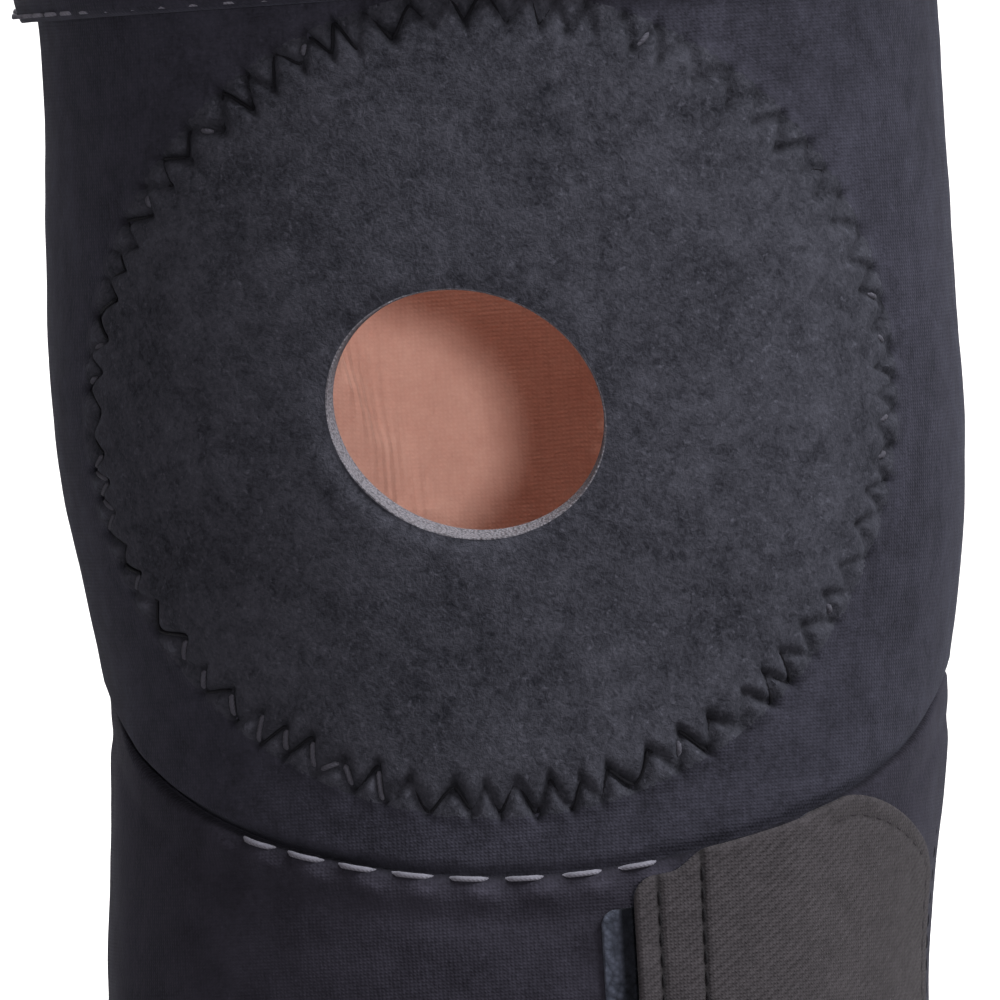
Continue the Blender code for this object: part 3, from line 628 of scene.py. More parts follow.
def grid_solid(
    name, outer, inner, uv, mats,
    smooth_deg=50.0, keep=None, outer_mats=None, inner_mats=None, wrap=False,
):
    """Closed sheet between two (columns, rows, 3) grids; mats start with outer, inner and rim.

    With wrap, the last column is the first. keep masks the cells that are built, outer_mats gives
    a material to each outer cell and inner_mats to each row of inner cells. Returns the object
    and the indices of the grid points used.
    """
    columns, rows = outer.shape[:2]
    own = columns - 1 if wrap else columns
    n = own * rows
    index = np.arange(n).reshape(own, rows)
    if wrap:
        index = np.concatenate([index, index[:1]])
    i, j = cells(columns - 1, rows - 1)
    if keep is not None:
        i, j = i[keep.ravel()], j[keep.ravel()]
    front = np.stack([index[i + di, j + dj] for di, dj in FORWARD], 1)
    front_uv = np.stack([uv[i + di, j + dj] for di, dj in FORWARD], 1)
    # the rim follows every edge used by only one cell
    sides = ((0, 1), (1, 2), (2, 3), (3, 0))
    edges = np.concatenate([front[:, side] for side in sides])
    edges_uv = np.concatenate([front_uv[:, side] for side in sides])
    _, inverse, count = np.unique(
        np.sort(edges, 1), axis=0, return_inverse=True, return_counts=True
    )
    once = count[inverse.reshape(-1)] == 1
    b, b_uv = edges[once], edges_uv[once]
    rim = np.stack([b[:, 1], b[:, 0], b[:, 0] + n, b[:, 1] + n], 1)
    deep = [0.003, 0.003]
    rim_uv = np.stack([b_uv[:, 1], b_uv[:, 0], b_uv[:, 0] + deep, b_uv[:, 1] + deep], 1)
    faces = np.concatenate([front, front[:, ::-1] + n, rim])
    corner_uv = np.concatenate([front_uv, front_uv[:, ::-1], rim_uv])
    face_mats = np.concatenate([
        np.zeros(len(front), int) if outer_mats is None else outer_mats[i, j],
        np.full(len(front), 1) if inner_mats is None else inner_mats[j],
        np.full(len(rim), 2),
    ])
    points = np.concatenate([outer[:own].reshape(-1, 3), inner[:own].reshape(-1, 3)])
    used = np.unique(faces)
    renumber = np.full(2 * n, -1)
    renumber[used] = np.arange(len(used))
    ob = mesh_object(
        name, points[used], renumber[faces], corner_uv, mats, face_mats, smooth_deg
    )
    return ob, used


def shell(name, deg, z, out, inn, mats, shade=None, **options):
    """grid_solid over (deg, z) grids with offsets; returns it and its vertices' (deg, z)."""
    uv = np.stack([np.radians(deg) * UV_RADIUS, z], -1)
    ob, used = grid_solid(name, face(deg, z, out), face(deg, z, inn), uv, mats, **options)
    own = len(z) - 1 if options.get("wrap") else len(z)
    if shade is not None:
        values = np.broadcast_to(shade, z.shape)[:own].ravel()
        values = np.concatenate([values, np.zeros_like(values)])[used].astype(np.float32)
        ob.data.attributes.new("shade", "FLOAT", "POINT").data.foreach_set("value", values)
    places = np.stack([deg[:own].ravel(), z[:own].ravel()], 1)
    return ob, np.concatenate([places, places])[used]


def rounded(span, n, thick):
    """Distances along span, closer at its rounded ends, and the share of thickness there."""
    r = thick / 2
    ends = r * (1 - np.cos(np.linspace(0, math.pi / 2, 6)[:-1]))
    along = np.concatenate([ends, np.linspace(r, span - r, n), span - ends[::-1]])
    to_end = np.minimum(np.minimum(along, span - along) / r, 1)
    share = np.sqrt(np.clip(1 - (1 - to_end) ** 2, 0, 1))
    return along, np.maximum(share, 0.06)


def corner_inset(edge, radius):
    """How far a rounded corner pulls in the outline at a distance from the edge."""
    e = np.clip(radius - edge, 0, radius)
    return radius - np.sqrt(np.clip(radius**2 - e**2, 0, None))


def tubes(name, paths, radius, mat, sides=6, taper=0.55):
    """One object of many tubes; each path is (points, normals) and taper scales its ends."""
    points, faces, uvs = [], [], []
    base = 0
    turn = np.linspace(0, 2 * math.pi, sides, endpoint=False)
    cap = np.array([[0, k, k + 1, k + 2] for k in range(1, sides - 2, 2)])
    for line, normals in paths:
        m = len(line)
        along = np.gradient(line, axis=0)
        along /= np.linalg.norm(along, axis=1)[:, None] + 1e-12
        first = normals - (normals * along).sum(1)[:, None] * along
        first /= np.linalg.norm(first, axis=1)[:, None] + 1e-12
        second = np.cross(along, first)
        r = np.full(m, radius)
        r[[0, -1]] = radius * taper
        spokes = (
            np.cos(turn)[None, :, None] * first[:, None]
            + np.sin(turn)[None, :, None] * second[:, None]
        )
        points.append((line[:, None] + r[:, None, None] * spokes).reshape(-1, 3))
        steps = np.linalg.norm(np.diff(line, axis=0), axis=1)
        run = np.concatenate([[0], np.cumsum(steps)])
        uvs.append(np.stack([np.repeat(run, sides), np.tile(turn * radius, m)], 1))
        i, j = cells(m - 1, sides)
        k = (j + 1) % sides
        row, after = i * sides, (i + 1) * sides
        faces.append(np.stack([row + k, after + k, after + j, row + j], 1) + base)
        faces.append(cap + base)
        faces.append((cap + base + (m - 1) * sides)[:, ::-1])
        base += m * sides
    faces = np.concatenate(faces)
    corner_uv = np.concatenate(uvs)[faces]
    return mesh_object(name, np.concatenate(points), faces, corner_uv, [mat], smooth_deg=None)


def surface_threads(name, strands, radius, mat):
    """Tubes along (deg, z, offset) strands; returns them and their vertices' (deg, z)."""
    paths = [(face(d, z, off), surface_normal(d, z)) for d, z, off in strands]
    places = [np.stack([np.repeat(d, 6), np.repeat(z, 6)], 1) for d, z, _ in strands]
    return tubes(name, paths, radius, mat), np.concatenate(places)


def dashes(
    name, deg, z, off, pitch, length, radius, mat,
    lift=0.6, dip=1.1, phase=0.3, skip=None, jitter=0.05, seed=1,
):
    """Running stitches along a dense line.

    lift and dip are the rise of a stitch's middle and the sinking of its ends, in radii; phase
    and jitter are in pitches. skip(deg) tells which stitches to leave out.
    """
    steps = np.linalg.norm(np.diff(face(deg, z, off), axis=0), axis=1)
    run = np.concatenate([[0], np.cumsum(steps)])
    rng = np.random.default_rng(seed)
    arc = np.sin(np.linspace(0, math.pi, 7)) ** 0.6
    strands = []
    start = phase * pitch
    while start + length < run[-1]:
        shift_start, shift_end = rng.uniform(-jitter, jitter, 2) * pitch
        q = np.linspace(start + shift_start, start + length + shift_end, 7)
        start += pitch
        d = np.interp(q, run, deg)
        if skip is not None and skip(d.mean()):
            continue
        height = np.interp(q, run, off) + radius * (-dip + (dip + lift) * arc)
        strands.append((d, np.interp(q, run, z), height))
    return surface_threads(name, strands, radius, mat)[0]


# ------------------------------------------------------------------ how pieces move
def follow(ob):
    """Bakes an object's transform into its vertices."""
    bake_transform(ob)


def bend(ob, places, upper):
    """Cloth of the knee: bakes its transform into its vertices; the seam's height is worked out but
    not used.
    """
    deg, z = places[:, 0], places[:, 1]
    seam = (upper_seam if upper else lower_seam)(deg)
    follow(ob)


def given(ob, body, slot, *nodes):
    """Parents an object to its body's empty, if any, and hides the CAD pieces it replaces; slot is
    not used.
    """
    if body:
        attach(ob, body)
    if nodes:
        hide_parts(*nodes)


# ------------------------------------------------------------------ relief of the sewn ring
RING_RADIUS = 0.0553
ZIG_COUNT, ZIG_REACH = 70, 0.0020
RING_ANGLES = np.linspace(-math.pi, math.pi, 721)


def foreshortening():
    """How much shorter a length along the surface looks from the front, round the ring."""
    step = 0.0004
    ends = []
    for r in (RING_RADIUS + step, RING_RADIUS - step):
        x, z = PAD_X + r * np.cos(RING_ANGLES), PAD_Z + r * np.sin(RING_ANGLES)
        ends.append(face(bearing(x, z), z, 0))
    return 2 * step / np.linalg.norm(ends[0] - ends[1], axis=1)


RING_SHORTENING = foreshortening()


def ring_coords(deg, z):
    """Distance outside the ring's middle line along the surface, and the angle round it."""
    p = face(deg, z, 0.0)
    x, height = p[..., 0] - PAD_X, z - PAD_Z
    r, a = np.hypot(x, height), np.arctan2(height, x)
    s = (r - RING_RADIUS) / np.interp(a, RING_ANGLES, RING_SHORTENING)
    behind = np.abs(wrapped(deg)) > 92.0
    return np.where(behind, 0.05, s), a


def ring_radius(a, s):
    """Radius seen from the front at a distance s outside the ring's middle line."""
    turn = (a + math.pi) % (2 * math.pi) - math.pi
    return RING_RADIUS + s * np.interp(turn, RING_ANGLES, RING_SHORTENING)


def zig_at(a):
    """Zigzag's distance from the ring's middle line at angle a, and its even wave."""
    t = ripple(a, a / (2 * math.pi) * ZIG_COUNT, (0.16, 9, 1.0), (0.10, 23, 0.4))
    wave = 2 * np.abs(2 * (t % 1.0) - 1) - 1
    wave = 0.6 * wave + 0.4 * np.cos(2 * math.pi * t)
    wander = ripple(a, 0.0, (0.0004, 13, 0.7), (0.0003, 31, 2.1))
    return ZIG_REACH * wave * ripple(a, 1, (0.24, 17, 2.0), (0.16, 41, 0)) + wander, wave


def flattened(a):
    """How far the ring is worn flat, round its +X side."""
    return smooth((np.cos(a) + 0.15) / 0.5) * smooth((np.sin(a) + 0.93) / 0.4)


def padding(s):
    """Padding inside the ring, fading out across it."""
    return 0.00105 * (1 - smooth((s + 0.0062) / 0.0086))


def ring_height(s, a):
    """Height of the ring's relief and its shade value: zigzag furrows with puffs between them,
    painted shade in the furrows and painted highlight on the crests.
    """
    zig, wave = zig_at(a)
    half_pitch = math.pi * RING_RADIUS / ZIG_COUNT
    distance = np.abs(s - zig) * half_pitch / math.hypot(half_pitch, 2 * ZIG_REACH)
    soft = flattened(a) * ripple(a, 0.75, (0.25, 13, 2))
    depth = ripple(a, 0.72, (0.26, 29, 1.3), (0.20, 61, 0), (0.12, 97, 0.5)) * (1 - 0.50 * soft)
    cut = bell(distance, 0.00078 + 0.00022 * soft) * smooth((0.0046 - np.abs(s)) / 0.0014)
    # pricked corners of the zigzag
    corner = bell(np.abs(s) - ZIG_REACH, 0.0009) * bell(1 - np.abs(wave), 0.30)
    corner = corner * np.where(wave * s > 0, 1.0, 0.0)
    puff = 0.00070 * (1 - bell(distance, 0.0011)) * bell(s, 0.0034) * (1.15 - 0.3 * depth)
    valley = 0.00014 * bell(s - 0.0040, 0.0010)
    # raised crests, strongest from the -X side to the bottom
    crest = bell(s - 0.0007, 0.0010) * smooth((-wave - 0.1) / 0.8)
    pick = np.clip(ripple(a, 0.5, (0.6, 19, 0.9), (0.4, 47, 2.2)), 0, 1)
    crest = crest * pick * np.where((a > -3.0) & (a < -1.7), 1.0, 0.35)
    height = padding(s) + puff + 0.00018 * crest - 0.00060 * (cut + corner) * depth - valley
    # painted shade in the furrows and pricked corners, painted highlight on the raised crests
    dark = np.clip(cut * depth * 0.9 + corner * 0.5, 0, 1)
    return height, dark - 0.55 * crest * (1 - np.clip(cut * 1.5, 0, 1))


def cloth_lumps(deg, z):
    """Soft unevenness of the padded front, the same for every layer."""
    return lumps(deg, z, (0.00035, 0.030, 3.0), (0.00012, 0.009, 7.0))


# ------------------------------------------------------------------ brushed disc round the opening
DISC_START_S = -0.0058  # the evenly spaced rows across the ring start here
DISC_EDGE_S = 0.0023  # pile inside, jersey outside
SKIRT_S = 0.0056
EDGE_SHIFT = (-0.00045, -0.00067)  # the pile's edge is shifted in x and z against the opening


def open_edge(grow, shift_x, shift_z, a):
    """Outline of the opening, grown and shifted."""
    tilt = math.radians(OPEN_TILT)
    u, v = (OPEN_A + grow) * np.cos(a), (OPEN_B + grow) * np.sin(a)
    x = OPEN_X + shift_x + u * np.cos(tilt) - v * np.sin(tilt)
    return x, OPEN_Z + shift_z + u * np.sin(tilt) + v * np.cos(tilt)


def split_angles(edge, n, upper):
    """n+1 parameters along an outline's upper or lower part, between its crossings of z = 0."""
    dense = np.linspace(-math.pi, math.pi, 20001)
    x, z = edge(dense)
    plus_x = dense[np.argmin(np.where(x > OPEN_X, np.abs(z), 9))]
    minus_x = dense[np.argmin(np.where(x < OPEN_X, np.abs(z), 9))]
    if upper:
        if minus_x < plus_x:
            minus_x += 2 * math.pi
        return np.linspace(plus_x, minus_x, n + 1)
    if minus_x > plus_x:
        minus_x -= 2 * math.pi
    return np.linspace(minus_x, plus_x, n + 1)


def disc_half(name, upper):
    n = 470

    def inner_edge(a):
        return open_edge(0.00088, *EDGE_SHIFT, a)

    def ring_line(a):
        r = ring_radius(a, 0.0)
        return PAD_X + r * np.cos(a), PAD_Z + r * np.sin(a)

    # rows from the opening to the ring, then evenly spaced ones across it
    x_open, z_open = inner_edge(split_angles(inner_edge, n, upper))
    turn = split_angles(ring_line, n, upper)
    inside = np.linspace(0, 1, 56)[:-1]
    across = np.arange(DISC_START_S, SKIRT_S + 1e-9, 0.00030)
    r = ring_radius(turn, DISC_START_S)
    x_ring, z_ring = PAD_X + r * np.cos(turn), PAD_Z + r * np.sin(turn)
    deg_open, deg_ring = bearing(x_open, z_open), bearing(x_ring, z_ring)
    deg_in = deg_open[:, None] + (deg_ring - deg_open)[:, None] * inside[None]
    z_in = z_open[:, None] + (z_ring - z_open)[:, None] * inside[None]
    r = ring_radius(turn[:, None], across[None])
    x_across = PAD_X + r * np.cos(turn)[:, None]
    z_across = PAD_Z + r * np.sin(turn)[:, None]
    # the two halves meet exactly at z = 0
    z_across[[0, -1]] = 0.0
    z_in[[0, -1]] = 0.0
    deg = np.concatenate([deg_in, bearing(x_across, z_across)], 1)
    z = np.concatenate([z_in, z_across], 1)

    s, a = ring_coords(deg, z)
    height, shade = ring_height(s, a)
    progress = np.concatenate([inside, np.ones(len(across))])[None]
    lip = bell(progress * 0.036, 0.0016)  # soft lip round the opening
    lump = cloth_lumps(deg, z) * (1 - 0.6 * lip)
    fine = lumps(deg, z, (0.00006, 0.0022, 11.0)) * smooth((-0.004 - s) / 0.004)
    fade = smooth((SKIRT_S - s) / 0.0018)
    out = height * fade + lump + fine - 0.00055 * lip + 0.000015
    inn = np.minimum(out - 0.0007, -0.0002 + lump)
    inn = np.where(s > 0.0044, out - 0.0003, inn)
    outer_mats = (s[:-1, :-1] > DISC_EDGE_S).astype(int) * 3
    mats = [PILE, NEOPRENE, NEOPRENE, NEOPRENE]
    ob, places = shell(
        name, deg, z, out, inn, mats, outer_mats=outer_mats, smooth_deg=60, shade=shade
    )
    bend(ob, places, upper)
    given(ob, None, "brushed_pile", "patella_cover_disc")


for level, upper in LEVELS:
    disc_half(f"cover_disc_{level}", upper)


# ------------------------------------------------------------------ front panel of the knee
def furrow_depth(deg):
    """How open the lower seam is: clear on the -X side, nearly closed in the middle of the front."""
    d = wrapped(deg)
    return 0.42 + 0.58 * smooth((-14.0 - d) / 16.0) - 0.60 * smooth((-70.0 - d) / 12.0)


def panel_off(deg, z):
    """Outer offset: lower under the disc, at the side seams and down into the lower seam."""
    s, _ = ring_coords(deg, z)
    under = 1 - smooth((s - 0.0034) / 0.0014)
    in_front = np.where(np.abs(wrapped(deg)) < 92, 1.0, 0.0)
    down = smooth(1 - (z - lower_seam(deg)) / 0.0019)
    roll = 0.0019 * furrow_depth(deg) * down**1.5
    edge = 0.0010 * smooth(1 - (SIDE_DEG - np.abs(wrapped(deg))) / 1.6)
    return cloth_lumps(deg, z) - 0.0009 * under * in_front - roll - edge


def panel_half(name, upper):
    cols = np.linspace(-SIDE_DEG, SIDE_DEG, 249)
    far = (upper_seam(cols) + 0.0040) if upper else (lower_seam(cols) - 0.0011)
    t = 1 - (1 - np.linspace(0, 1, 66)) ** 1.25
    z = far[:, None] * t[None]
    deg = np.repeat(cols[:, None], len(t), 1)
    # the middle is left out; the disc and the opening's rim cover it
    x = face(deg, z, 0.0)[..., 0]
    hole = (np.hypot(x - OPEN_X, z - OPEN_Z) < 0.0275) & (np.abs(deg) < 60)
    keep = ~(hole[:-1, :-1] | hole[1:, 1:] | hole[1:, :-1] | hole[:-1, 1:])
    out = panel_off(deg, z)
    inn = np.full_like(out, -SHEET)
    if not upper:
        z, deg, out, inn, keep = (grid[:, ::-1] for grid in (z, deg, out, inn, keep))
    # painted shade in the crevice along the lower seam, as deep as the furrow there
    shade = smooth(1 - (z - lower_seam(deg)) / 0.0012) * np.clip(furrow_depth(deg), 0, 1)
    mats = [NEOPRENE, LINING, NEOPRENE]
    ob, places = shell(name, deg, z, out, inn, mats, keep=keep, shade=shade)
    bend(ob, places, upper)
    given(ob, None, "neoprene", "knee_front_panel")


for level, upper in LEVELS:
    panel_half(f"knee_panel_{level}", upper)

# profile of the opening's rim, from the pile round the cut foam to the lining and back:
# growth of the outline, share of EDGE_SHIFT, offset
RIM_PROFILE = (
    (0.00198, 1.0, -0.00010), (0.00128, 1.0, 0.00035), (0.00096, 1.0, 0.00050),
    (0.00076, 1.0, 0.00042), (0.00067, 1.0, 0.00015), (0.00058, 0.85, -0.0005),
    (0.00048, 0.65, -0.0011), (0.00036, 0.42, -0.0018), (0.00028, 0.2, -0.0024),
    (0.00022, 0.1, -0.0028), (0.00030, 0.1, -0.0031), (0.00050, 0.0, -0.0034),
    (0.00120, 0.0, -0.0035), (0.0040, 0.0, -0.0034), (0.0040, 0.0, -0.0028),
    (0.0034, 0.4, -0.0014), (0.0030, 1.0, -0.0004),
)


def opening_rim():
    """Rim of the opening, with foam showing at its cut edge."""
    a = np.linspace(0, 2 * math.pi, 241)
    points, uv = [], []
    for k, (grow, share, off) in enumerate(RIM_PROFILE):
        x, z = open_edge(grow, EDGE_SHIFT[0] * share, EDGE_SHIFT[1] * share, a)
        wobble = 0.00008 * np.sin(a * 7 + k) if 3 <= k <= 10 else 0.0
        off = off + cloth_lumps(bearing(x, z), z) * (1 if off > 0 else 0.5) + wobble
        points.append(np.stack([x, -front_depth(x, z, off), z], -1))
        uv.append(np.stack([a * 0.018, np.full_like(a, k * 0.0008)], -1))
    row = np.arange(len(RIM_PROFILE))
    row_mats = np.where((row < 2) | (row >= 14), 1, np.where(row >= 10, 2, 0))
    ob = band(
        "opening_rim", np.stack(points, 1), np.stack(uv, 1), ROW_FIRST, [FOAM, PILE, LINING],
        row_mats=row_mats, smooth_deg=70,
    )
    given(ob, "knee", "pad_foam", "knee_front_panel")


opening_rim()


# ------------------------------------------------------------------ zigzag thread of the ring
def is_highlit_strand(k, mid, roll):
    """Light strands, a lighter copy of the thread standing for painted highlights, are scattered, and
    dense between the -X side and the bottom.
    """
    dense = math.radians(-178) < mid < math.radians(-108)
    if dense:
        return dense, roll < (0.85 if k % 2 else 0.10)
    return dense, roll < (0.16 if math.cos(mid) < -0.2 else 0.08)


def ring_thread(name, upper, light):
    """Each leg of the zigzag as one strand lying in its furrow."""
    dense = np.linspace(-math.pi, math.pi, 200001)
    wave = zig_at(dense)[1]
    turns = np.where((wave[1:-1] - wave[:-2]) * (wave[2:] - wave[1:-1]) <= 0)[0] + 1
    marks = dense[turns]
    strands = []
    rng = np.random.default_rng(5)
    for k, start in enumerate(marks):
        end = marks[(k + 1) % len(marks)]
        if end < start:
            end += 2 * math.pi
        mid = ((start + end) / 2 + math.pi) % (2 * math.pi) - math.pi
        if (PAD_Z + RING_RADIUS * math.sin(mid) > 0) != upper:
            continue
        light_roll, worn_roll = rng.uniform(), rng.uniform()
        soft = float(flattened(mid))
        in_dense, is_highlit = is_highlit_strand(k, mid, light_roll)
        if is_highlit != light or (not light and worn_roll < 0.40 * soft):
            continue
        a = np.linspace(start + 0.0005, end - 0.0005, 13)
        a = (a + math.pi) % (2 * math.pi) - math.pi
        s = zig_at(a)[0]
        if light:
            part = slice(2, 11) if in_dense else slice(4, 9)
            a, s = a[part], s[part]
        r = ring_radius(a, s)
        x, z = PAD_X + r * np.cos(a), PAD_Z + r * np.sin(a)
        z = np.maximum(z, 0.0) if upper else np.minimum(z, 0.0)
        deg = bearing(x, z)
        arc = np.sin(np.linspace(0, math.pi, len(s))) ** 0.5
        sink = 0.00022 * math.sin(k * 1.7) + 0.00016 * math.sin(k * 0.61 + 2)
        lift = 0.00040 if light else sink - 0.00022 * soft
        off = padding(s) - 0.00082 + 0.00036 * arc + cloth_lumps(deg, z) + lift
        strands.append((deg, z, off))
    if not strands:
        return
    # the light strands get the lighter thread: painted highlights
    radius, mat = (0.00040, HIGHLIT_RING_THREAD) if light else (0.00026, DARK_THREAD)
    ob, places = surface_threads(name, strands, radius, mat)
    bend(ob, places, upper)
    given(ob, None, "edge_binding")


for level, upper in LEVELS:
    ring_thread(f"ring_thread_{level}", upper, light=False)
    ring_thread(f"ring_thread_highlit_{level}", upper, light=True)


# ------------------------------------------------------------------ buttress ring inside the panel
def buttress_half(name, upper):
    def inner_edge(a):
        return open_edge(0.0030, 0, 0, a)

    def outer_edge(a):
        return PAD_X + 0.0500 * np.cos(a), PAD_Z + 0.0500 * np.sin(a)

    x_in, z_in = inner_edge(split_angles(inner_edge, 150, upper))
    x_out, z_out = outer_edge(split_angles(outer_edge, 150, upper))
    z_in[[0, -1]] = 0.0
    z_out[[0, -1]] = 0.0
    deg_in, deg_out = bearing(x_in, z_in), bearing(x_out, z_out)
    t = 0.5 - 0.5 * np.cos(np.linspace(0, math.pi, 40))
    deg = deg_in[:, None] + (deg_out - deg_in)[:, None] * t
    z = z_in[:, None] + (z_out - z_in)[:, None] * t
    puff = np.sqrt(np.clip(np.sin(math.pi * (0.03 + 0.94 * t)), 0, 1)) ** 0.8
    out = np.full_like(z, -SHEET - 0.0004)
    inn = out - 0.0009 - (0.0048 * puff)[None] + lumps(deg, z, (0.00025, 0.012, 21.0))
    ob, places = shell(name, deg, z, out, inn, [LINING, LINING, LINING])
    bend(ob, places, upper)
    given(ob, None, "pad_foam", "patella_buttress_ring")


for level, upper in LEVELS:
    buttress_half(f"buttress_{level}", upper)

# ------------------------------------------------------------------ knit panel behind the knee
REAR_SPAN = 360 - 2 * SIDE_DEG


def back_creases(deg, z):
    """Shallow folds behind the knee, fading out to the seams."""
    u = (deg - 180.0) / 55.5
    v = z / 0.068
    edge = smooth((1 - np.abs(u)) / 0.35) * smooth((1 - np.abs(v)) / 0.25)
    lump = lumps(deg, z, (1.0, 0.040, 31.0))
    fold = np.sin((z + 0.004 * lump + 0.010 * u * u) / 0.0125 * math.pi) * bell(v, 0.62)
    return edge * (0.0009 * fold + 0.0006 * lump)


def settle(ob):
    """Runs the cloth simulation on a pinned sheet and returns its points."""
    modifier = ob.modifiers.new("cloth", "CLOTH")
    cloth = modifier.settings
    cloth.quality = 7
    cloth.mass = 0.12
    cloth.tension_stiffness = cloth.compression_stiffness = 18.0
    cloth.shear_stiffness = 8.0
    cloth.bending_stiffness = 0.35
    cloth.tension_damping = cloth.compression_damping = 12.0
    cloth.bending_damping = 2.0
    cloth.air_damping = 4.0
    cloth.shrink_min = -0.055  # negative, so the cloth grows and has some slack
    cloth.vertex_group_mass = "pin"
    cloth.effector_weights.gravity = 0.15
    modifier.collision_settings.use_collision = False
    modifier.collision_settings.use_self_collision = False
    modifier.point_cache.frame_start = 1
    modifier.point_cache.frame_end = 34
    for number in range(1, 35):
        bpy.context.scene.frame_set(number)
    settled = ob.evaluated_get(bpy.context.evaluated_depsgraph_get())
    points = np.zeros(len(ob.data.vertices) * 3, np.float32)
    settled.data.vertices.foreach_get("co", points)
    return points


def knit_drape():
    """Lets the knit panel, held at its seams with a little slack, settle into folds.
    """
    columns, rows = 73, 95
    u = np.linspace(0, 1, columns)[:, None] * np.ones((1, rows))
    v = np.ones((columns, 1)) * np.linspace(0, 1, rows)[None]
    deg = SIDE_DEG + REAR_SPAN * u
    low, high = lower_seam(deg), upper_seam(deg)
    z = low + (high - low) * v
    start = face(deg, z, -0.0012 + 0.5 * back_creases(deg, z))
    flat = face(deg, z, -0.0012)
    i, j = cells(columns - 1, rows - 1)
    quads = np.stack([(i + di) * rows + j + dj for di, dj in FORWARD], 1)
    mesh = bpy.data.meshes.new("drape")
    mesh.from_pydata((start.reshape(-1, 3) + KNEE).tolist(), [], quads.tolist())
    ob = bpy.data.objects.new("drape", mesh)
    bpy.context.scene.collection.objects.link(ob)
    edge = np.minimum(np.minimum(u, 1 - u) * 1.4, np.minimum(v, 1 - v))
    pin_width = 0.035
    group = ob.vertex_groups.new(name="pin")
    for k, e in enumerate(edge.ravel()):
        if e < pin_width:
            group.add([k], float(1.0 - 0.6 * e / pin_width), "REPLACE")
    moved = settle(ob).reshape(columns, rows, 3) - KNEE - flat
    bpy.data.objects.remove(ob, do_unlink=True)
    bpy.context.scene.frame_set(1)
    # the seams stay where they are, and nothing moves more than 2.8 mm
    moved[..., 2] *= 0.3
    size = np.linalg.norm(moved, axis=-1, keepdims=True)
    moved = moved * smooth(edge / 0.17)[..., None] * np.minimum(1.0, 0.0028 / np.maximum(size, 1e-9))

    def at(deg, z):
        low, high = lower_seam(deg), upper_seam(deg)
        a = np.clip((deg - SIDE_DEG) / REAR_SPAN, 0, 1) * (columns - 1)
        b = np.clip((z - low) / (high - low), 0, 1) * (rows - 1)
        i, j = np.minimum(a.astype(int), columns - 2), np.minimum(b.astype(int), rows - 2)
        ta, tb = smooth(a - i)[..., None], smooth(b - j)[..., None]
        below = moved[i, j] * (1 - ta) + moved[i + 1, j] * ta
        above = moved[i, j + 1] * (1 - ta) + moved[i + 1, j + 1] * ta
        return below * (1 - tb) + above * tb

    return at


DRAPE = knit_drape()


def popliteal_half(name, upper):
    cols = np.linspace(SIDE_DEG + 0.15, 360 - SIDE_DEG - 0.15, 361)
    far = (upper_seam(cols) + 0.0015) if upper else (lower_seam(cols) - 0.0009)
    t = np.linspace(0, 1, 90)
    z = far[:, None] * t[None]
    deg = np.repeat(cols[:, None], len(t), 1)
    rear_radius, rib_pitch = 0.060, 0.0024
    rib = 0.00028 * np.cos(np.radians(deg) * rear_radius / rib_pitch * 2 * math.pi)
    to_side = np.minimum(cols - SIDE_DEG, 360 - SIDE_DEG - cols)
    edge = 0.0006 * smooth(1 - to_side / 1.4)[:, None]
    crease = back_creases(deg, z) if DRAPE is None else 0.0
    out = -0.0006 + rib + crease - edge
    inn = out - 0.0014 - 0.8 * rib  # the lining lies flatter than the ribs
    if not upper:
        z, deg, out, inn = (grid[:, ::-1] for grid in (z, deg, out, inn))
    ob, places = shell(name, deg, z, out, inn, [KNIT, LINING, KNIT])
    if DRAPE is not None:
        points = np.zeros(len(ob.data.vertices) * 3, np.float32)
        ob.data.vertices.foreach_get("co", points)
        points = points.reshape(-1, 3) + DRAPE(places[:, 0], places[:, 1])
        ob.data.vertices.foreach_set("co", points.astype(np.float32).ravel())
        ob.data.update()
    bend(ob, places, upper)
    given(ob, None, "stretch_mesh", "popliteal_panel")


for level, upper in LEVELS:
    popliteal_half(f"popliteal_{level}", upper)


def side_seam(name, deg_middle, upper):
    """Cover stitch over a side seam: a tight zigzag a few millimetres wide."""
    far = float(upper_seam(deg_middle) if upper else lower_seam(deg_middle)) * 0.985
    count = int(abs(far) / 0.0013)
    z_turns = np.linspace(0.0006 * (1 if upper else -1), far, count * 2 + 1)
    deg_turns = deg_middle + np.where(np.arange(len(z_turns)) % 2 == 0, -1.7, 1.7)
    t = np.linspace(0.04, 0.96, 6)
    arc = np.sin(np.linspace(0, math.pi, 6)) ** 0.5
    strands = []
    for k in range(len(z_turns) - 1):
        deg = deg_turns[k] + (deg_turns[k + 1] - deg_turns[k]) * t
        z = z_turns[k] + (z_turns[k + 1] - z_turns[k]) * t
        sunk = bell(np.abs(wrapped(deg)) - SIDE_DEG, 1.0)
        strands.append((deg, z, -0.0003 - 0.0003 * sunk + 0.00035 * arc))
    ob, places = surface_threads(name, strands, 0.00022, DARK_THREAD)
    bend(ob, places, upper)
    given(ob, None, "edge_binding")


for side, word in SIDES:
    for level, upper in LEVELS:
        side_seam(f"side_seam_{level}_{word}", side * SIDE_DEG, upper)

# ------------------------------------------------------------------ cuffs
SEAM_DEG = np.linspace(-178, 178, 2400)
# light stitches on the lower seam; the calf cuff's lip swells between them in step
SEAM_PITCH, SEAM_LENGTH, SEAM_PHASE = 0.0080, 0.0056, 0.22


def side_bulge(deg, z):
    """The hinge arm in its pocket shows faintly through the cuff."""
    y = face(deg, z, 0.0)[..., 1] - PIVOT_Y
    at_side = (np.abs(wrapped(deg)) > 50) & (np.abs(wrapped(deg)) < 140)
    ends = smooth((0.150 - z) / 0.008) * smooth((z + 0.132) / 0.008)
    return np.where(at_side, 0.00035 * bell(y, 0.0085, 4) * ends, 0.0)


